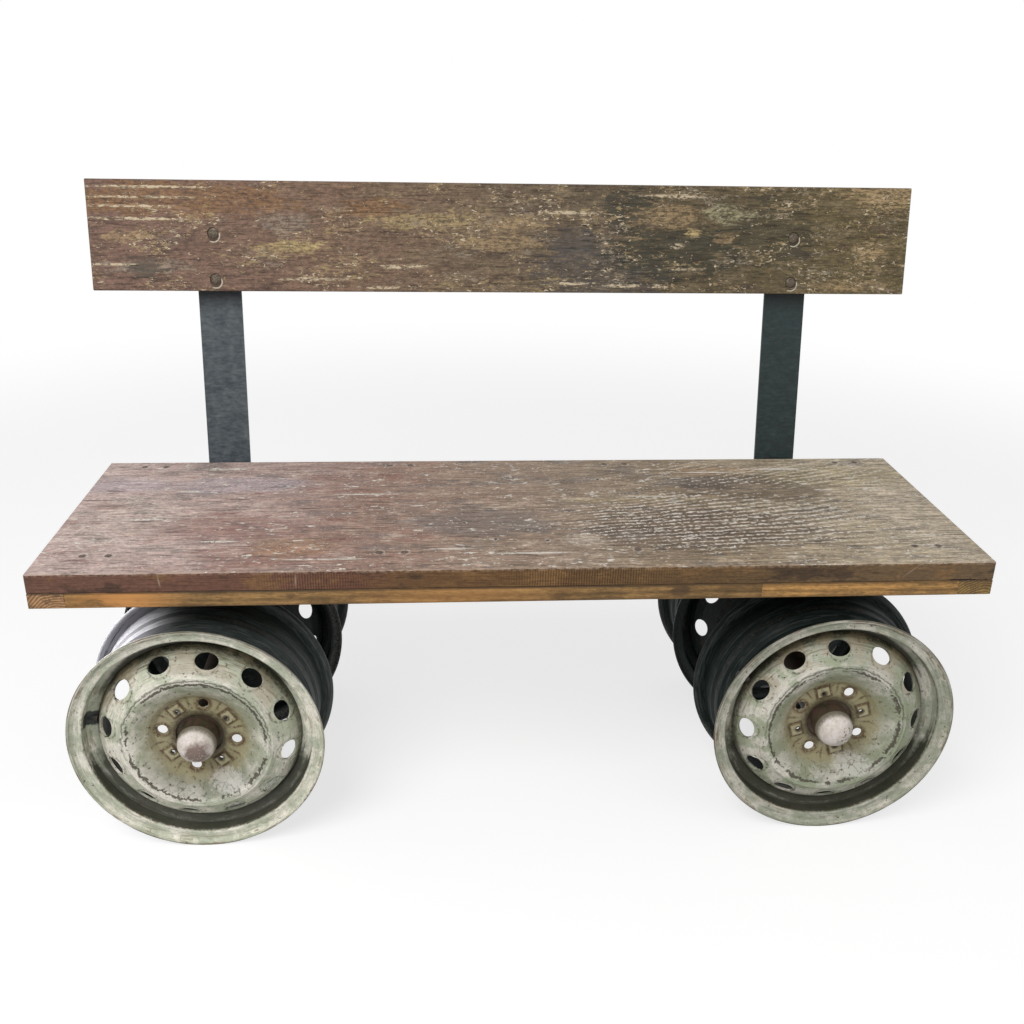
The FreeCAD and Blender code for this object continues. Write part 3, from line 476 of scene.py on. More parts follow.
def batten_finish(name, grain, pith, light, dark, ring, seed, rings_show=0.5):
    material, spot = new_finish(name)
    x, _, z = places(spot)
    rings = growth(spot, grain, pith, ring, 0.016)
    lines = fibres(spot, grain, 0.0013, seed)
    clouds = noise(spot, 0.03, drawn(grain, 3), detail=6, rough=0.66, seed=seed + 4)
    grit = noise(spot, 0.0036, drawn(grain, 2.5), detail=4, rough=0.7, seed=seed + 6)
    colour = blend(dark, light, step(clouds, 0.4, 0.6))
    colour = shaded(colour, swing(lines, 1.8) * swing(grit, 1.6) * swing(rings, rings_show))
    stain = noise(spot, 0.02, drawn(grain, 4), detail=6, rough=0.68, seed=seed + 8)
    colour = blend(colour, (0.085, 0.046, 0.02), step(stain, 0.555, 0.625) * 0.62)
    if grain == "x":
        bright = near(x, -0.59, 0.11) + near(x, -0.1, 0.22) * 0.35
        colour = layered(
            colour,
            ((0.66, 0.3, 0.09), bright * step(clouds, 0.32, 0.5) * 0.8),
            ((0.07, 0.038, 0.016), patch(spot, *RAIL_KNOT, clouds) * 0.8),
        )
    seam = step(z, seat_low.z - 0.004, seat_low.z - 0.0005)
    colour = layered(
        colour,
        ((0.03, 0.018, 0.01), seam * (step(clouds, 0.4, 0.56) * 0.45 + 0.4)),
        ((0.11, 0.07, 0.036), step(z, *BATTEN_FOOT) * step(grit, 0.42, 0.58) * 0.7),
    )
    height = rings * 0.3 + lines * 0.6 + grit * 0.3
    return lay(material, colour, 0.46 + lines * 0.25, height, 0.0008, gloss=0.35)


GOLD = (0.47, 0.25, 0.08)
TAN = (0.31, 0.172, 0.062)
OLIVE = (0.24, 0.15, 0.048)
UMBER = (0.16, 0.092, 0.034)
# Pieces, finish, grain, pith, light and dark wood, ring, seed, share of the rings
BATTENS = (
    (["front_rail_left"], "golden_rail", "x", (0, -0.21, 0.47),
     (0.265, 0.152, 0.056), (0.15, 0.086, 0.031), 0.006, 2),
    (["front_rail_right"], "amber_rail", "x", (0, -0.22, 0.4), GOLD, (0.25, 0.14, 0.048), 0.007, 5),
    (["end_batten_left"], "left_end_grain", "y", (-0.684, 0, 0.408),
     (0.36, 0.2, 0.095), (0.25, 0.135, 0.062), 0.0042, 8, 0.9),
    (["end_batten_right"], "right_end_grain", "y", (0.712, 0, 0.4), OLIVE, UMBER, 0.0044, 11, 0.8),
    (both_sides("outer_batten", "bar_batten", "inner_batten"),
     "plain_battens", "y", (0, 0, 0.36), TAN, OLIVE, 0.008, 14),
)
for names, *look in BATTENS:
    wear(batten_finish(*look), names)

# %% [markdown]
# The back board lost most of its paint. What is left lies in long ragged flakes, cream and tan and
# yellow, over a ground that runs from orange brown at the left to a blackish green patch right of
# the middle. The board leans, so its pattern is turned upright first.

# %% Marks on the back board
LEAN = math.radians(8.87)
board_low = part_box("back_board")[0]
board_foot = board_low.z * math.cos(LEAN) + board_low.y * math.sin(LEAN)
BOLT_COLUMN = 0.514
BOLT_ROWS = (0.0206, 0.099)
BETWEEN_ROWS = (0.059, 0.06)

CREAM_FLAKE = (0.66, 0.54, 0.375)
TAN_FLAKE = (0.37, 0.26, 0.14)
YELLOW_FLAKE = (0.4, 0.305, 0.15)
GREY_FLAKE = (0.28, 0.24, 0.19)
AMBER = (0.23, 0.13, 0.066)
MOSS = (0.29, 0.265, 0.16)
SOOT = (0.04, 0.041, 0.03)
INK = (0.078, 0.072, 0.072)
BOARD_GROUND = (
    (0.0, (0.185, 0.113, 0.086)), (0.22, (0.195, 0.124, 0.084)), (0.45, (0.17, 0.12, 0.078)),
    (0.62, (0.128, 0.096, 0.064)), (0.8, (0.108, 0.082, 0.047)), (1.0, (0.13, 0.1, 0.049)),
)
BOARD_MARKS = (
    (AMBER, 0.85, (-0.57, 0.158, 0.19, 0.026), (-0.23, 0.145, 0.06, 0.014)),
    (GREY_FLAKE, 0.55, (-0.385, 0.118, 0.042, 0.018), (-0.62, 0.046, 0.075, 0.012)),
    (YELLOW_FLAKE, 0.62, (-0.4, 0.076, 0.045, 0.013), (-0.15, 0.127, 0.09, 0.012)),
    (TAN_FLAKE, 0.62, (-0.66, 0.098, 0.042, 0.01), (0.0, 0.123, 0.055, 0.011)),
    (TAN_FLAKE, 0.6, (-0.01, 0.091, 0.075, 0.011), (0.62, 0.02, 0.07, 0.01)),
    (INK, 0.62, (0.16, 0.04, 0.11, 0.04), (0.13, 0.085, 0.05, 0.03)),
    (SOOT, 0.82, (0.29, 0.075, 0.12, 0.042), (0.215, 0.15, 0.05, 0.03)),
    (SOOT, 0.6, (-0.63, 0.046, 0.028, 0.02), (0.47, 0.11, 0.075, 0.05)),
    (TAN_FLAKE, 0.62, (0.285, 0.138, 0.055, 0.018), (0.388, 0.101, 0.016, 0.008)),
    (MOSS, 0.85, (0.385, 0.142, 0.032, 0.015), (0.425, 0.143, 0.022, 0.006)),
    (TAN_FLAKE, 0.95, (0.69, 0.178, 0.08, 0.018), (0.655, 0.078, 0.03, 0.014)),
    (YELLOW_FLAKE, 1.0, (0.331, 0.109, 0.013, 0.008), (-0.37, 0.083, 0.05, 0.008)),
)
LONG_FLAKES = (
    (-0.615, 0.179, 0.095, 0.0022), (-0.625, 0.162, 0.08, 0.002), (-0.655, 0.147, 0.075, 0.0022),
    (-0.65, 0.126, 0.08, 0.0024), (-0.685, 0.049, 0.036, 0.0022), (-0.34, 0.026, 0.05, 0.0028),
    (-0.19, 0.048, 0.036, 0.0036), (-0.228, 0.012, 0.034, 0.0024), (0.103, 0.143, 0.045, 0.003),
    (0.3, 0.173, 0.05, 0.003), (0.298, 0.087, 0.015, 0.0036), (0.117, 0.021, 0.032, 0.0026),
    (0.201, 0.017, 0.03, 0.0026), (0.267, 0.017, 0.015, 0.004), (0.323, 0.046, 0.026, 0.0022),
)
print("board foot at", round(board_foot, 4), "along the board")

# %% Back board
def board_patch(turned, mark, *edge):
    """A patch on the board, from its places across and up and its reach along each."""
    across, high, wide, tall = mark
    return patch(turned, (across, 0, board_foot + high), (wide, 0, tall), *edge)


def bolt_ring(x, up):
    """How far a spot on the board is from the nearest bolt, and how far to its lower right."""
    lower_row, upper_row = BOLT_ROWS
    side = (abs(x) - BOLT_COLUMN) * x.maths("SIGN")
    rise = up - lower_row - step(up, *BETWEEN_ROWS) * (upper_row - lower_row)
    return distance(side, rise), side - rise


def board_face(turned, x, up, lines, streaks, grit):
    """The colour of the board's faces, its cream flakes and its open pores."""
    clouds = noise(turned, 0.08, (2.0, 1, 1), detail=5, rough=0.62, seed=6)
    hues = noise(turned, 0.028, (2.8, 1, 1), detail=6, rough=0.68, seed=7)
    ground = layered(
        graded(step(x + clouds * 0.4 - 0.2, -0.75, 0.75), *BOARD_GROUND),
        ((0.085, 0.056, 0.044), step(hues, 0.47, 0.39) * 0.55),
        ((0.215, 0.165, 0.1), step(hues, 0.53, 0.6) * step(x, -0.5, -0.1) * 0.45),
    )
    ragged = hues * 0.45 + streaks * 0.55
    speckle = step(grit, 0.44, 0.52) * 0.7 + 0.3
    for colour, strength, *marks in BOARD_MARKS:
        for mark in marks:
            mask = board_patch(turned, mark, ragged, 6.5, 0.12)
            ground = blend(ground, colour, mask * speckle * strength)
    ground = shaded(ground, swing(streaks, 1.5) * swing(lines, 1.7) * swing(grit, 2.4))

    crowd = step(noise(turned, 0.04, (2.2, 1, 1), detail=3, seed=12), 0.45, 0.58)
    flake = noise(turned, 0.0046, (2.6, 1, 1), detail=6, rough=0.7, seed=14, twist=0.5)
    tone = noise(turned, 0.05, (2, 1, 1), seed=16)
    paint = graded(tone, (0.4, GREY_FLAKE), (0.5, TAN_FLAKE), (0.6, YELLOW_FLAKE))
    cream = noise(turned, 0.0042, (2.3, 1, 1), detail=4, rough=0.66, seed=18, twist=0.8)
    cream = step(cream + crowd * 0.07, 0.648, 0.676) * 0.95
    for mark in LONG_FLAKES:
        long_flake = board_patch(turned, mark, grit, 3.5) * step(flake, 0.42, 0.52) * 0.92
        cream = most(cream, long_flake)
    pores = step(noise(turned, 0.003, (18, 1, 1), detail=3, rough=0.6, seed=20), 0.6, 0.655)
    reach, slant = bolt_ring(x, up)
    # A pale crescent at the lower right of each bolt, just outside a darker ring, is a painted highlight.
    painted_bolt_highlight = near(reach, 0.011, 0.0016) * step(slant, 0.002, 0.008)
    ground = layered(
        ground,
        (paint, step(flake + crowd * 0.07, 0.6, 0.64) * 0.72),
        (CREAM_FLAKE, cream),
        ((0.045, 0.033, 0.024), pores * 0.4),
        ((0.04, 0.029, 0.02), step(reach, 0.0108, 0.009) * 0.7),
        ((0.72, 0.66, 0.53), painted_bolt_highlight * 0.9),
    )
    return ground, cream, pores


def board_finish():
    material, spot = new_finish("flaking_back_board")
    turned = spot.node("Mapping", {"Vector": spot, "Rotation": (LEAN, 0, 0)})
    x, _, z = places(turned)
    lines = fibres(turned, "x", 0.0015, 3)
    streaks = noise(turned, 0.0068, (6, 1, 1), detail=5, rough=0.66, seed=4, twist=0.4)
    grit = noise(turned, 0.004, (1.9, 1, 1), detail=5, rough=0.72, seed=5)
    ground, cream, pores = board_face(turned, x, z - board_foot, lines, streaks, grit)
    rings = growth(turned, "x", (0, 0.1, 0.98), 0.014, 0.06)
    edge = graded(rings, (0.0, (0.085, 0.05, 0.032)), (1.0, (0.15, 0.095, 0.06)))
    front = step(facing(spot, (0, -1, 0)), 0.6, 0.85)
    back = step(facing(spot, (0, 1, 0)), 0.6, 0.85)
    colour = blend(shaded(edge, swing(lines, 2.0)), ground, most(front, back))
    height = streaks * 0.4 + lines * 0.35 + cream * 0.35 - pores * 0.4
    return lay(material, colour, 0.56 + grit * 0.25, height, 0.0012, gloss=0.25)


wear(board_finish(), ["back_board"])

# %% [markdown]
# The two flat bars, the bearers and the axles are mill steel under a dull paint, flat from afar and
# mottled from near, with rust spots. The bars have a brown stain at the foot and are darker where
# the back board shades them. The left bar is painted lighter than the right, as painted light. The
# rubber of the valves is mottled too.

# %% Bars, bearers, axles and valves
BOARD_SHADE = (0.74, 0.785)
BAR_FOOT = (0.47, 0.44)


def painted_steel(name, paint, chalk, seed, rust=0.6):
    material, spot = new_finish(name)
    z = places(spot)[2]
    mottle = noise(spot, 0.016, detail=6, rough=0.68, seed=seed)
    brushed = noise(spot, 0.0022, (6, 1, 2), detail=3, seed=seed + 3)
    colour = blend(paint, chalk, step(mottle * 0.5 + brushed * 0.3 + z * 0.25, 0.36, 0.76))
    shade = 1.0 - step(z, *BOARD_SHADE) * 0.6
    spots = step(noise(spot, 0.0045, detail=5, rough=0.7, seed=seed + 6), 0.62, 0.67)
    foot = step(z, *BAR_FOOT) * step(noise(spot, 0.015, seed=seed + 8), 0.4, 0.6)
    colour = layered(
        shaded(colour, swing(brushed, 0.8) * swing(mottle, 0.6) * shade),
        ((0.085, 0.038, 0.02), spots * rust),
        ((0.12, 0.058, 0.048), foot * 0.4),
    )
    return lay(material, colour, 0.42 + mottle * 0.25, mottle * 0.6 + brushed * 0.3, 0.00035, gloss=0.32)


# Pieces, finish, paint, chalked paint, seed, strength of the rust spots
PAINTS = (
    # The left bar has the right bar's paint, painted lighter as painted light.
    (["bent_bar_left"], "chalked_slate_paint", (0.034, 0.048, 0.058), (0.1, 0.114, 0.122), 1),
    (["bent_bar_right"], "slate_paint", (0.007, 0.016, 0.016), (0.024, 0.04, 0.04), 5),
    (both_sides("bearer", "bar_welds", "bearer_welds"),
     "bearer_paint", (0.014, 0.019, 0.019), (0.032, 0.038, 0.037), 9, 1.0),
    (both_sides("axle_pipe", "axle_collar_front", "axle_collar_rear", "axle_cap_rear", "collar_welds"),
     "axle_paint", (0.04, 0.034, 0.018), (0.085, 0.07, 0.038), 17, 1.0),
    (["tyre_valves"], "perished_rubber", (0.012, 0.014, 0.014), (0.03, 0.032, 0.031), 3),
)
for names, *look in PAINTS:
    wear(painted_steel(*look), names)

# %% [markdown]
# The rims tell the longest story. Their faces were sprayed a pale sage green that has yellowed,
# with olive grime on the hub, rust round the pressed edges, a cracked ring where the disc is
# creased, and black dirt in the groove behind the lip, with painted shade over it at the top. Each
# disc's left side, and the whole left wheel, are painted lighter as painted light. All of it goes
# round the wheel, so it needs the wheel's own coordinates: the distance from its axle, the angle
# about it and the depth behind its lip. A noise on `swirled` coordinates is drawn out round the
# wheel, as grain is along a board.

# %% A wheel's own coordinates
AXLE_HEIGHT = 0.1956
WHEEL_PLACE = 0.504
FRONT_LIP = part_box("rim_barrel_front_left")[0].y
REAR_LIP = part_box("rim_barrel_rear_left")[0].y
TURNS = {"left": math.radians(10.3), "right": math.radians(27.8)}
LUGS = 4
VENTS = 12


class WheelSpot:
    """Where a spot is on a wheel: beside and above the axle, away from it, and behind the lip."""

    def __init__(self, spot, side, lip):
        x, y, z = places(spot)
        self.across = x - (WHEEL_PLACE if side == "right" else -WHEEL_PLACE)
        self.up = z - AXLE_HEIGHT
        self.radius = distance(self.across, self.up)
        self.angle = self.up.maths("ARCTAN2", self.across)
        self.depth = y - lip

    def swirled(self, turns, size):
        """Coordinates for a noise of size 1: so many clouds in a radian, each as wide as size."""
        sockets = {0: self.across / self.radius * turns, 1: self.up / self.radius * turns}
        sockets[2] = (self.radius + self.depth) / size
        return self.up.node("CombineXYZ", sockets)

    def repeated(self, count, start, ring):
        """How far out from the nearest of some places spaced evenly on a ring, and beside it."""
        share = 2 * math.pi / count
        within = (self.angle - start + share / 2 + 4 * math.pi) % share - share / 2
        return self.radius * within.maths("COSINE") - ring, self.radius * within.maths("SINE")


def grainy(spot, size, seed):
    """Fine dirt, without a direction."""
    return noise(spot, size, detail=6, rough=0.72, seed=seed)


print("front lips at", round(FRONT_LIP, 4), "rear lips at", round(REAR_LIP, 4))

# %% [markdown]
# One function paints the front discs and another the front barrels. In both, a chip is a noise cut
# at a high level: rust shows there, and the relief sinks by the same noise. Cracks are thin bands
# round the wheel whose radius wavers with a noise.

# %% Front discs
SAGE = (0.4, 0.42, 0.325)
CREAM = (0.66, 0.63, 0.545)
RUST = (0.09, 0.042, 0.02)
# Dark dirt, also laid as painted shade at the top of the disc and of the groove behind the lip.
DIRT_AND_SHADE = (0.026, 0.027, 0.016)
GRIME = (0.33, 0.275, 0.14)
LUG_RING = 0.05715
LUG_RUST = 0.0108
PAD_RING = 0.056
PAD_HALVES = (0.0085, 0.01)
PAD_HOLE_RING = 0.0526
VENT_RING = 0.141
VENT_REACH = 0.0186
CREASE = 0.1062


def hub_marks(colour, wheel, start, fine):
    """Grime on the hub, rust round its lug holes and raised pads, and painted shade round the cap."""
    grime = step(wheel.radius + (fine - 0.5) * 0.05, 0.088, 0.07)
    between = start + math.pi / LUGS
    pad_out, pad_beside = wheel.repeated(LUGS, between, PAD_RING)
    square = most(abs(pad_out) - PAD_HALVES[0], abs(pad_beside) - PAD_HALVES[1])
    lugs = distance(*wheel.repeated(LUGS, start, LUG_RING))
    ribs_out, ribs_beside = wheel.repeated(LUGS * 2, start + math.pi / LUGS / 2, LUG_RING)
    ribs = near(ribs_beside, 0.0, 0.0034) * near(ribs_out, 0.006, 0.018)
    holes = distance(*wheel.repeated(LUGS, between, PAD_HOLE_RING))
    # The dark collar round the cap is painted shade where the cap meets the disc.
    collar = step(wheel.radius + (fine - 0.5) * 0.02, 0.052, 0.037)
    return layered(
        colour,
        (GRIME, grime * 0.7),
        ((0.46, 0.42, 0.27), step(square, 0.001, -0.002) * step(fine, 0.36, 0.52) * 0.75),
        (RUST, near(square, 0.0018, 0.0042) * step(fine, 0.36, 0.52) * 0.9),
        (RUST, near(lugs, LUG_RUST, 0.006) * step(fine, 0.36, 0.54) * 0.9),
        (RUST, ribs * step(fine, 0.38, 0.52) * 0.85),
        ((0.04, 0.022, 0.012), step(holes, 0.0078, 0.0042) * 0.8),
        ((0.05, 0.036, 0.016), collar * 0.9),
    )


def ring_marks(colour, wheel, spot, fine, seed):
    """The cracked ring at the crease, and cracks that leave it."""
    waver = (grainy(spot, 0.009, seed + 6) - 0.5) * 0.02
    broken = step(noise(wheel.swirled(2.2, 0.03), 1.0, detail=3, seed=seed + 7), 0.38, 0.5)
    crack = near(wheel.radius + waver, CREASE, 0.0048) * (broken * 0.32 + 0.26)
    second = near(wheel.radius + waver * 0.7, 0.1125, 0.0022)
    second = second * step(wheel.up + fine * 0.1, -0.02, 0.09)
    crack = most(step(crack + fine, 0.79, 0.9), second * 0.8)
    flaking = near(wheel.radius, 0.1075, 0.016) * step(fine, 0.575, 0.63)
    coats = ((0.14, 0.11, 0.07), flaking * 0.5), ((0.062, 0.048, 0.031), crack * 0.88)
    return layered(colour, *coats), crack


def disc_finish(side):
    material, spot = new_finish(f"sage_disc_{side}")
    wheel = WheelSpot(spot, side, FRONT_LIP)
    left = side == "left"
    seed = 3 if left else 12
    start = -TURNS[side]
    clouds = noise(spot, 0.045, detail=5, rough=0.62, seed=seed)
    fine = grainy(spot, 0.0055, seed + 2)
    swept = noise(wheel.swirled(4.0, 0.0045), 1.0, detail=4, rough=0.62, seed=seed + 3)
    # Painted light: each disc's left side is painted lighter and creamier, and the left disc lighter than
    # the right.
    lit_leftward = step(wheel.across + (clouds - 0.5) * 0.12, 0.01, -0.09)
    painted_lightness = lit_leftward * 0.1 + (1.16 if left else 0.95)
    green = step(clouds, 0.52, 0.4) * (0.5 if left else 0.8)
    yellowed = step(swept, 0.55, 0.63) * step(wheel.radius, 0.112, 0.124)
    inner = step(wheel.radius + (clouds - 0.5) * 0.04, 0.108, 0.084)
    colour = blend(SAGE, CREAM, step(clouds + swept * 0.5 + lit_leftward * 0.12, 0.68, 0.88))
    colour = layered(
        shaded(colour, swing(fine, 0.8) * swing(swept, 0.9) * painted_lightness),
        ((0.5, 0.53, 0.39) if left else (0.33, 0.37, 0.245), green),
        ((0.3, 0.275, 0.165), yellowed * 0.55),
        ((0.27, 0.275, 0.18), inner * 0.66),
    )
    # Below the hub, inside the crease, the bowl is painted darker, a painted shade, more on the left disc.
    bowl = step(wheel.radius, 0.112, 0.098) * step(wheel.up + (clouds - 0.5) * 0.06, -0.02, -0.07)
    colour = hub_marks(shaded(colour, 1.0 - bowl * (0.34 if left else 0.12)), wheel, start, fine)
    colour, crack = ring_marks(colour, wheel, spot, fine, seed)

    vents = distance(*wheel.repeated(VENTS, start, VENT_RING))
    # Near the barrel the disc darkens with grime; the extra darkening at the top is painted shade under
    # the lip.
    shoulder = step(wheel.radius + (swept - 0.5) * 0.04, 0.136, 0.1535)
    shaded_upper = step(wheel.up + (clouds - 0.5) * 0.1, -0.03, 0.12)
    rim_line = step(wheel.radius + (fine - 0.5) * 0.02, 0.15, 0.156)
    brown = step(clouds + swept * 0.3, 0.6, 0.72) * step(wheel.up, 0.02, 0.08)
    brown = brown * step(wheel.radius, 0.115, 0.13)
    # A pale patch low on the right of the bowl is partly worn paint and partly a painted highlight.
    bare_and_highlight = distance((wheel.across - 0.042) / 0.03, (wheel.up + 0.078) / 0.02) + (fine - 0.5) * 2
    shift = spot.node("CombineXYZ", {0: fine * 0.012, 2: clouds * 0.02})
    sockets = {"Vector": vector_sum("ADD", spot, shift), "Scale": 95.0}
    veins = spot.node("TexVoronoi", sockets, {"feature": "DISTANCE_TO_EDGE"})
    torn = step(noise(spot, 0.014, detail=3, seed=seed + 9), 0.44, 0.54)
    crazed = step(veins, 0.06, 0.02) * torn * near(wheel.up, -0.085, 0.045)
    crazed = crazed * step(wheel.radius, 0.07, 0.08) * step(wheel.radius, 0.112, 0.103)
    chips = noise(spot, 0.006, detail=5, rough=0.68, seed=seed + 10)
    back = step(facing(spot, (0, 1, 0)), -0.05, 0.25)
    colour = layered(
        colour,
        ((0.055, 0.045, 0.026), near(vents, VENT_REACH, 0.003) * step(fine, 0.42, 0.58) * 0.75),
        ((0.105, 0.096, 0.056), shoulder * (0.22 + shaded_upper * 0.7)),
        (DIRT_AND_SHADE, rim_line * (0.6 + shaded_upper * 0.35)),
        ((0.255, 0.205, 0.12), brown * 0.55),
        ((0.74, 0.71, 0.66), step(bare_and_highlight, 1.2, 0.6) * 0.55),
        ((0.17, 0.15, 0.1), crazed * (0.35 if left else 0.6)),
        (RUST, step(chips, 0.625, 0.655) * 0.85),
        ((0.012, 0.015, 0.012), back * 0.95),
    )
    height = fine * 0.35 + swept * 0.3 - crack * 0.8 - crazed * 0.3 - step(chips, 0.61, 0.645) * 0.6
    return lay(material, colour, 0.44 + fine * 0.3, height, 0.001, gloss=0.35)


for side in SIDES:
    wear(disc_finish(side), [f"rim_disc_front_{side}"])

# %% [markdown]
# A barrel is one rolled sheet. Its inside near the lip has the same sage paint as the disc, its
# outside is nearly black under road film, and a ring of rust texture runs round the narrow bead
# seat. The groove behind the lip holds dirt at the bottom and painted shade at the top. The left
# barrel's sage and film are painted lighter than the right's, and along its left the film is
# painted a pale lavender grey as a painted reflection. The surface's own direction says which side
# is which: outwards from the axle or inwards.

# %% Front barrels
BEAD_SEAT = (0.0905, 0.012)
WORN_STEPS = (
    (0.11, 0.003, 1.0), (0.031, 0.003, 1.0), (0.147, 0.004, 1.0), (0.072, 0.0035, 0.6),
    (0.0395, 0.0022, 0.7),
)
VALVE_RING = 0.17


def outer_film(wheel, fine, seed, low=(0.005, 0.009, 0.008), high=(0.02, 0.029, 0.026)):
    """The dark outside of a barrel, with worn steps and a rusty seat."""
    film = noise(wheel.swirled(5.0, 0.0032), 1.0, detail=4, rough=0.65, seed=seed + 6)
    steps = sum(near(wheel.depth, depth, reach) * share for depth, reach, share in WORN_STEPS)
    return layered(
        blend(low, high, step(film, 0.42, 0.64)),
        ((0.085, 0.078, 0.07), near(wheel.depth, *BEAD_SEAT) * step(fine, 0.44, 0.6) * 0.6),
        ((0.09, 0.096, 0.092), steps * step(film, 0.44, 0.58) * 0.55),
    )


def pale_share(wheel, spot):
    """1 on the lip and the inside near it, 0 on the outside of the barrel."""
    x, _, z = places(normal_at(spot))
    outward = (x * wheel.across + z * wheel.up) / wheel.radius
    front = step(facing(spot, (0, -1, 0)), 0.35, 0.65) * step(wheel.depth, 0.03, 0.02)
    inside = step(outward, 0.15, -0.15) * step(wheel.depth, 0.06, 0.046)
    edge = step(wheel.depth, 0.0035, 0.0015) * step(wheel.radius, 0.19, 0.192)
    return most(most(front, inside), edge)


def barrel_finish(side):
    material, spot = new_finish(f"rolled_barrel_{side}")
    wheel = WheelSpot(spot, side, FRONT_LIP)
    left = side == "left"
    seed = 21 if left else 34
    clouds = noise(spot, 0.045, detail=4, rough=0.62, seed=seed)
    fine = grainy(spot, 0.005, seed + 2)
    swept = noise(wheel.swirled(4.0, 0.0036), 1.0, detail=4, rough=0.64, seed=seed + 3)
    low = step(wheel.up + (clouds - 0.5) * 0.1, 0.01, -0.1)
    # The groove holds settled dirt at the bottom; the darkening at the top is painted shade under the lip.
    high = step(wheel.up, 0.05, 0.12)
    seat = near(wheel.depth, 0.022, 0.017) * (low + high * 0.3 + 0.15)
    slope = step(wheel.depth, 0.03, 0.036) * (low * 0.75 + high * 0.6 + 0.12)
    dirt_and_shade_mask = step(seat + slope + (swept - 0.5) * 0.9 + (fine - 0.5) * 0.5, 0.1, 0.66)
    scuffed = near(wheel.depth, 0.012, 0.0036) * step(fine, 0.42, 0.54)
    chips = step(noise(spot, 0.006, detail=5, rough=0.68, seed=seed + 4), 0.632, 0.66)
    lip = near(wheel.radius, 0.195, 0.0026) * step(swept, 0.38, 0.52)
    rusty = step(swept + clouds * 0.5, 0.8, 0.9) * step(wheel.radius, 0.183, 0.19)
    out, beside = wheel.repeated(1, math.pi - TURNS[side], VALVE_RING)
    block = step(abs(beside) + (fine - 0.5) * 0.01, 0.015, 0.011) * step(wheel.depth, 0.013, 0.018)
    block = block * step(out, -0.04, -0.02)
    sage = blend(SAGE, CREAM, step(clouds + swept * 0.5, 0.64, 0.86))
    # The left barrel's sage is painted lighter than the right's, as painted light.
    sage = layered(
        shaded(sage, swing(fine, 1.0) * swing(swept, 1.0) * (1.28 if left else 0.94)),
        ((0.26, 0.225, 0.13), step(swept, 0.54, 0.62) * 0.55),
        (DIRT_AND_SHADE, dirt_and_shade_mask * 0.93),
        ((0.085, 0.066, 0.036), scuffed * step(wheel.radius, 0.182, 0.178) * 0.85),
        (RUST, chips * 0.8),
        ((0.075, 0.05, 0.03), lip * 0.75),
        ((0.17, 0.115, 0.07), rusty * (0.45 if left else 0.75)),
        ((0.016, 0.022, 0.021), block * 0.95),
    )
    if left:
        # The left barrel's film is painted lighter, and its pale lavender grey along the left is a painted
        # reflection.
        film = outer_film(wheel, fine, seed, (0.01, 0.016, 0.014), (0.036, 0.048, 0.043))
        wear_and_reflection = step(wheel.across + (clouds - 0.5) * 0.05, -0.02, -0.11) * step(swept, 0.3, 0.46)
        film = blend(film, (0.33, 0.32, 0.36), wear_and_reflection * 0.8)
    else:
        film = outer_film(wheel, fine, seed)
    pale = pale_share(wheel, spot)
    height = fine * 0.3 + swept * 0.25 - chips * pale * 0.5
    roughness = 0.46 + fine * 0.16 + pale * 0.04
    return lay(material, blend(film, sage, pale), roughness, height, 0.0008, gloss=0.34 if left else 0.12)


for side in SIDES:
    wear(barrel_finish(side), [f"rim_barrel_front_{side}"])

# %% [markdown]
# The rear rims are given the barrels' dark film all over. On their faces, under the seat, that dark
# is painted shade. Only their lips and pressed steps are rubbed, the left ones to grey.

# %% Rear rims
def rear_rim_finish(side):
    material, spot = new_finish(f"dark_film_and_shade_rim_{side}")
    wheel = WheelSpot(spot, side, REAR_LIP)
    seed = 51 if side == "left" else 63
    fine = grainy(spot, 0.005, seed)
    lip = step(wheel.depth, 0.013, 0.008) * step(wheel.radius, 0.178, 0.182)
    wear_dirt_and_shade = (0.15, 0.15, 0.14) if side == "left" else (0.03, 0.04, 0.038)
    crest = near(wheel.radius, 0.113, 0.006) * near(wheel.depth, -0.003, 0.003)
    rust = step(noise(spot, 0.014, detail=6, rough=0.7, seed=seed + 2), 0.56, 0.64)
    # On the rear faces this dark film is painted shade under the seat.
    colour = layered(
        outer_film(wheel, fine, seed),
        (wear_dirt_and_shade, lip * step(fine, 0.36, 0.54) * 0.8),
        ((0.11, 0.108, 0.092), crest * step(fine, 0.44, 0.58) * 0.6),
        ((0.048, 0.026, 0.016), rust * 0.6),
    )
    return lay(material, colour, 0.4 + fine * 0.25, fine, 0.0006, gloss=0.2)


for side in SIDES:
    wear(rear_rim_finish(side), [f"rim_barrel_rear_{side}", f"rim_disc_rear_{side}"])

# %% [markdown]
# The domed caps were painted with the rims but are handled more, so the paint went pinkish grey.
# The left one has brown painted shade low on its right, and the right one is speckled with dirt
# beside it. Each is darker round its foot, a painted shade where it meets the disc.

# %% Domed caps
# Seeds of dirt and clouds, then a brown spot's place, colour and level: painted shade on the left
# cap, dirt on the right one
CAP_LOOKS = {
    "left": (5, 2, (0.005, -0.003), (0.16, 0.1, 0.078), 0.36),
    "right": (8, 6, (0.013, -0.002), (0.12, 0.115, 0.076), 0.48),
}


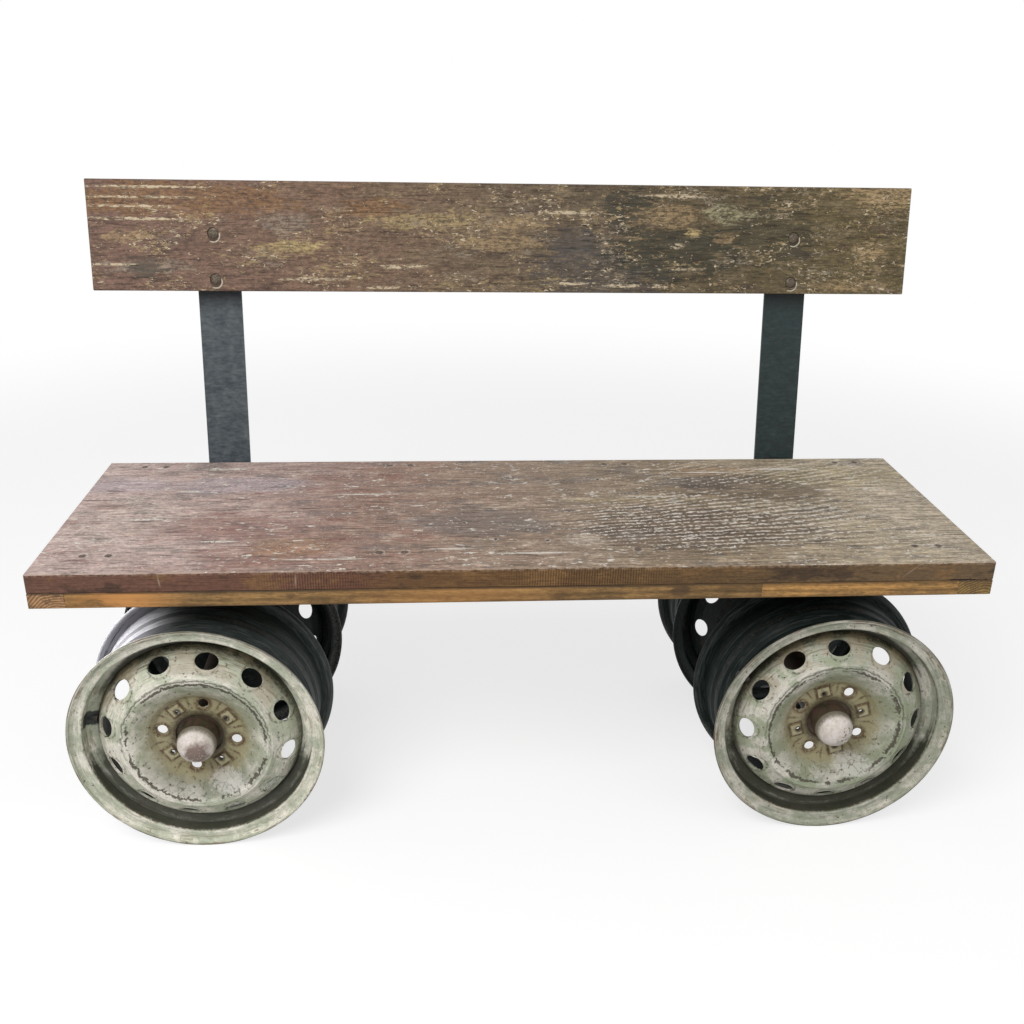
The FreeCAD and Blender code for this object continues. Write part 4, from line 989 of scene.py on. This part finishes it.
def cap_finish(side):
    material, spot = new_finish(f"worn_cap_{side}")
    wheel = WheelSpot(spot, side, FRONT_LIP)
    fine_seed, cloud_seed, place, hue, cut = CAP_LOOKS[side]
    fine = grainy(spot, 0.0038, fine_seed)
    clouds = noise(spot, 0.013, detail=5, rough=0.62, seed=cloud_seed)
    away = distance(wheel.across - place[0], wheel.up - place[1])
    wear_dirt_and_shade = step(away + (clouds - 0.5) * 0.02, 0.023, 0.012)
    # The dark band round the cap's foot is painted shade where the cap meets the disc.
    foot = step(wheel.radius + (fine - 0.5) * 0.006, 0.0262, 0.03)
    colour = blend((0.64, 0.57, 0.5), (0.76, 0.69, 0.65), step(clouds + fine * 0.4, 0.56, 0.84))
    colour = layered(
        shaded(colour, swing(fine, 0.6)),
        (hue, wear_dirt_and_shade * step(fine, cut, cut + 0.08) * 0.9),
        ((0.085, 0.072, 0.036), foot * 0.85),
    )
    return lay(material, colour, 0.42 + fine * 0.3, fine * 0.4 + clouds * 0.2, 0.0006, gloss=0.4)


for side in SIDES:
    wear(cap_finish(side), [f"axle_cap_front_{side}"])

# %% [markdown]
# Screws and bolts are small, but they catch the eye. They are plain steel gone brown under a fine
# bloom of rust, and only the hidden fixings are still bright.

# %% Screws, bolts, nuts and washers
def fastener_finish(name, metal, rust, share, metallic):
    material, spot = new_finish(name)
    bloom = noise(spot, 0.0022, detail=5, rough=0.65, seed=4)
    fine = noise(spot, 0.0006, detail=3, seed=9)
    rusted = step(bloom, share - 0.06, share + 0.06)
    colour = shaded(blend(metal, rust, rusted), swing(fine, 1.2))
    return lay(material, colour, 0.45 + rusted * 0.35, bloom * 0.5 + fine * 0.4, 0.0003, metallic=metallic)


# Pieces, finish, metal, rust, level of the rust, share of bare metal
FASTENERS = (
    (["seat_screws", "frame_screws"],
     "dull_screws", (0.165, 0.13, 0.105), (0.075, 0.05, 0.036), 0.48, 0.2),
    (["back_bolts"], "browned_bolts", (0.15, 0.115, 0.078), (0.085, 0.062, 0.042), 0.48, 0.1),
    (["bar_screws", "back_nuts", "back_washers"],
     "plated_fixings", (0.42, 0.41, 0.39), (0.16, 0.1, 0.065), 0.6, 0.6),
)
for names, *look in FASTENERS:
    wear(fastener_finish(*look), names)

# %% [markdown]
# The bench stands in an empty pale studio. The floor has to look white to the camera and in
# reflections and still keep the bench's shadow, so it adds a plain glow to a dim matt surface for
# those rays only, and far from the bench it fades into the white of the world behind it.

# %% Floor and world
def glow_share(tree):
    """1 for camera, glossy and transmission rays, and 0 for the rays that carry light."""
    path = tree.nodes.new("ShaderNodeLightPath")
    kinds = ("Camera", "Glossy", "Transmission")
    return reduce(most, [Signal(path.outputs[f"Is {kind} Ray"]) for kind in kinds])


FLOOR_REACH = 40.0
FLOOR_FADE = (1.9, 3.6)
mesh = bpy.data.meshes.new("studio_floor")
shape = bmesh.new()
bmesh.ops.create_grid(shape, x_segments=1, y_segments=1, size=FLOOR_REACH)
shape.to_mesh(mesh)
shape.free()
floor = bpy.data.objects.new("studio_floor", mesh)
bpy.context.scene.collection.objects.link(floor)

pale = bpy.data.materials.new("pale_floor")
pale.use_nodes = True
tree = pale.node_tree
tree.nodes.remove(tree.nodes["Principled BSDF"])
reader = tree.nodes.new("ShaderNodeTexCoord")
spot = Signal(reader.outputs["Object"])
matt = spot.node("BsdfDiffuse", {"Color": (0.52, 0.52, 0.52, 1)})
shade = spot.node("BsdfDiffuse", {"Color": (0.38, 0.38, 0.38, 1)})
glow = spot.node("Emission", {"Color": (1, 1, 1, 1), "Strength": 0.7})
both = spot.node("AddShader", {0: shade, 1: glow})
white = spot.node("Emission", {"Color": (1, 1, 1, 1), "Strength": 1.0})
far = step(length_of(spot), *FLOOR_FADE)
shown = spot.node("MixShader", {0: far, 1: both, 2: white})
surface = spot.node("MixShader", {0: glow_share(tree), 1: matt, 2: shown})
tree.links.new(surface.socket, tree.nodes["Material Output"].inputs["Surface"])
mesh.materials.append(pale)

AMBIENT = 0.37
world = bpy.data.worlds.new("white_studio")
bpy.context.scene.world = world
world.use_nodes = True
tree = world.node_tree
background = tree.nodes["Background"]
background.inputs["Color"].default_value = (1, 1, 1, 1)
strength = glow_share(tree) * (1.0 - AMBIENT) + AMBIENT
tree.links.new(strength.socket, background.inputs["Strength"])
print("floor", 2 * FLOOR_REACH, "m wide; ambient light", AMBIENT)

# %% [markdown]
# The light is that of a big window: one wide lamp high at the front left does most of the work, a
# weaker one fills from the right, and one at the left draws the bright streak on the outside of the
# front left rim. It is linked to this rim alone, so that it leaves the seat and the floor as they
# are. Wide lamps make soft shadows.

# %% Lamps
def lamp(name, place, aim, width, power):
    data = bpy.data.lights.new(name, "AREA")
    data.shape = "DISK"
    data.size = width
    data.energy = power
    thing = bpy.data.objects.new(name, data)
    thing.location = place
    thing.rotation_mode = "QUATERNION"
    thing.rotation_quaternion = (Vector(aim) - Vector(place)).to_track_quat("-Z", "Y")
    thing.visible_camera = False
    bpy.context.scene.collection.objects.link(thing)
    print(name, "at", place, "with", power, "W")
    return thing


lamp("window", (-1.3, -2.0, 2.6), (0, 0, 0.4), 2.0, 66)
lamp("fill", (2.2, -1.8, 1.3), (0.2, 0, 0.4), 1.8, 11)
streak = lamp("rim_streak", (-2.0, 0.9, 0.7), (-0.6, -0.1, 0.3), 2.2, 110)
reached = bpy.data.collections.new("rim_under_the_streak")
for name in ("rim_barrel_front_left", "rim_disc_front_left"):
    reached.objects.link(nodes[name])
streak.light_linking.receiver_collection = reached

# %% [markdown]
# The camera stands where the photographer stood: a little left of the middle, at chest height and
# close. Its lens and angles come from matching the bench's corners, and the small shift is there
# because the picture was cropped off centre.

# %% Camera
eye = bpy.data.cameras.new("photographer")
eye.lens = 38.22
eye.sensor_width = 36.0
eye.shift_x = -0.0085
eye.shift_y = 0.003
eye.clip_start = 0.05
eye.clip_end = 200.0
camera = bpy.data.objects.new("photographer", eye)
place = Matrix.Translation((-0.12146, -1.7082, 1.18641))
heading = Matrix.Rotation(-0.07784, 4, "Z")
tilt = Matrix.Rotation(math.pi / 2 - 0.40178, 4, "X")
roll = Matrix.Rotation(0.02063, 4, "Z")
camera.matrix_world = place @ heading @ tilt @ roll
bpy.context.scene.collection.objects.link(camera)
bpy.context.scene.camera = camera
print("camera", eye.lens, "mm")

# %% [markdown]
# Colours should come out as written, so the view transform is the plain one.

# %% Finish
bpy.context.scene.view_settings.view_transform = "Standard"
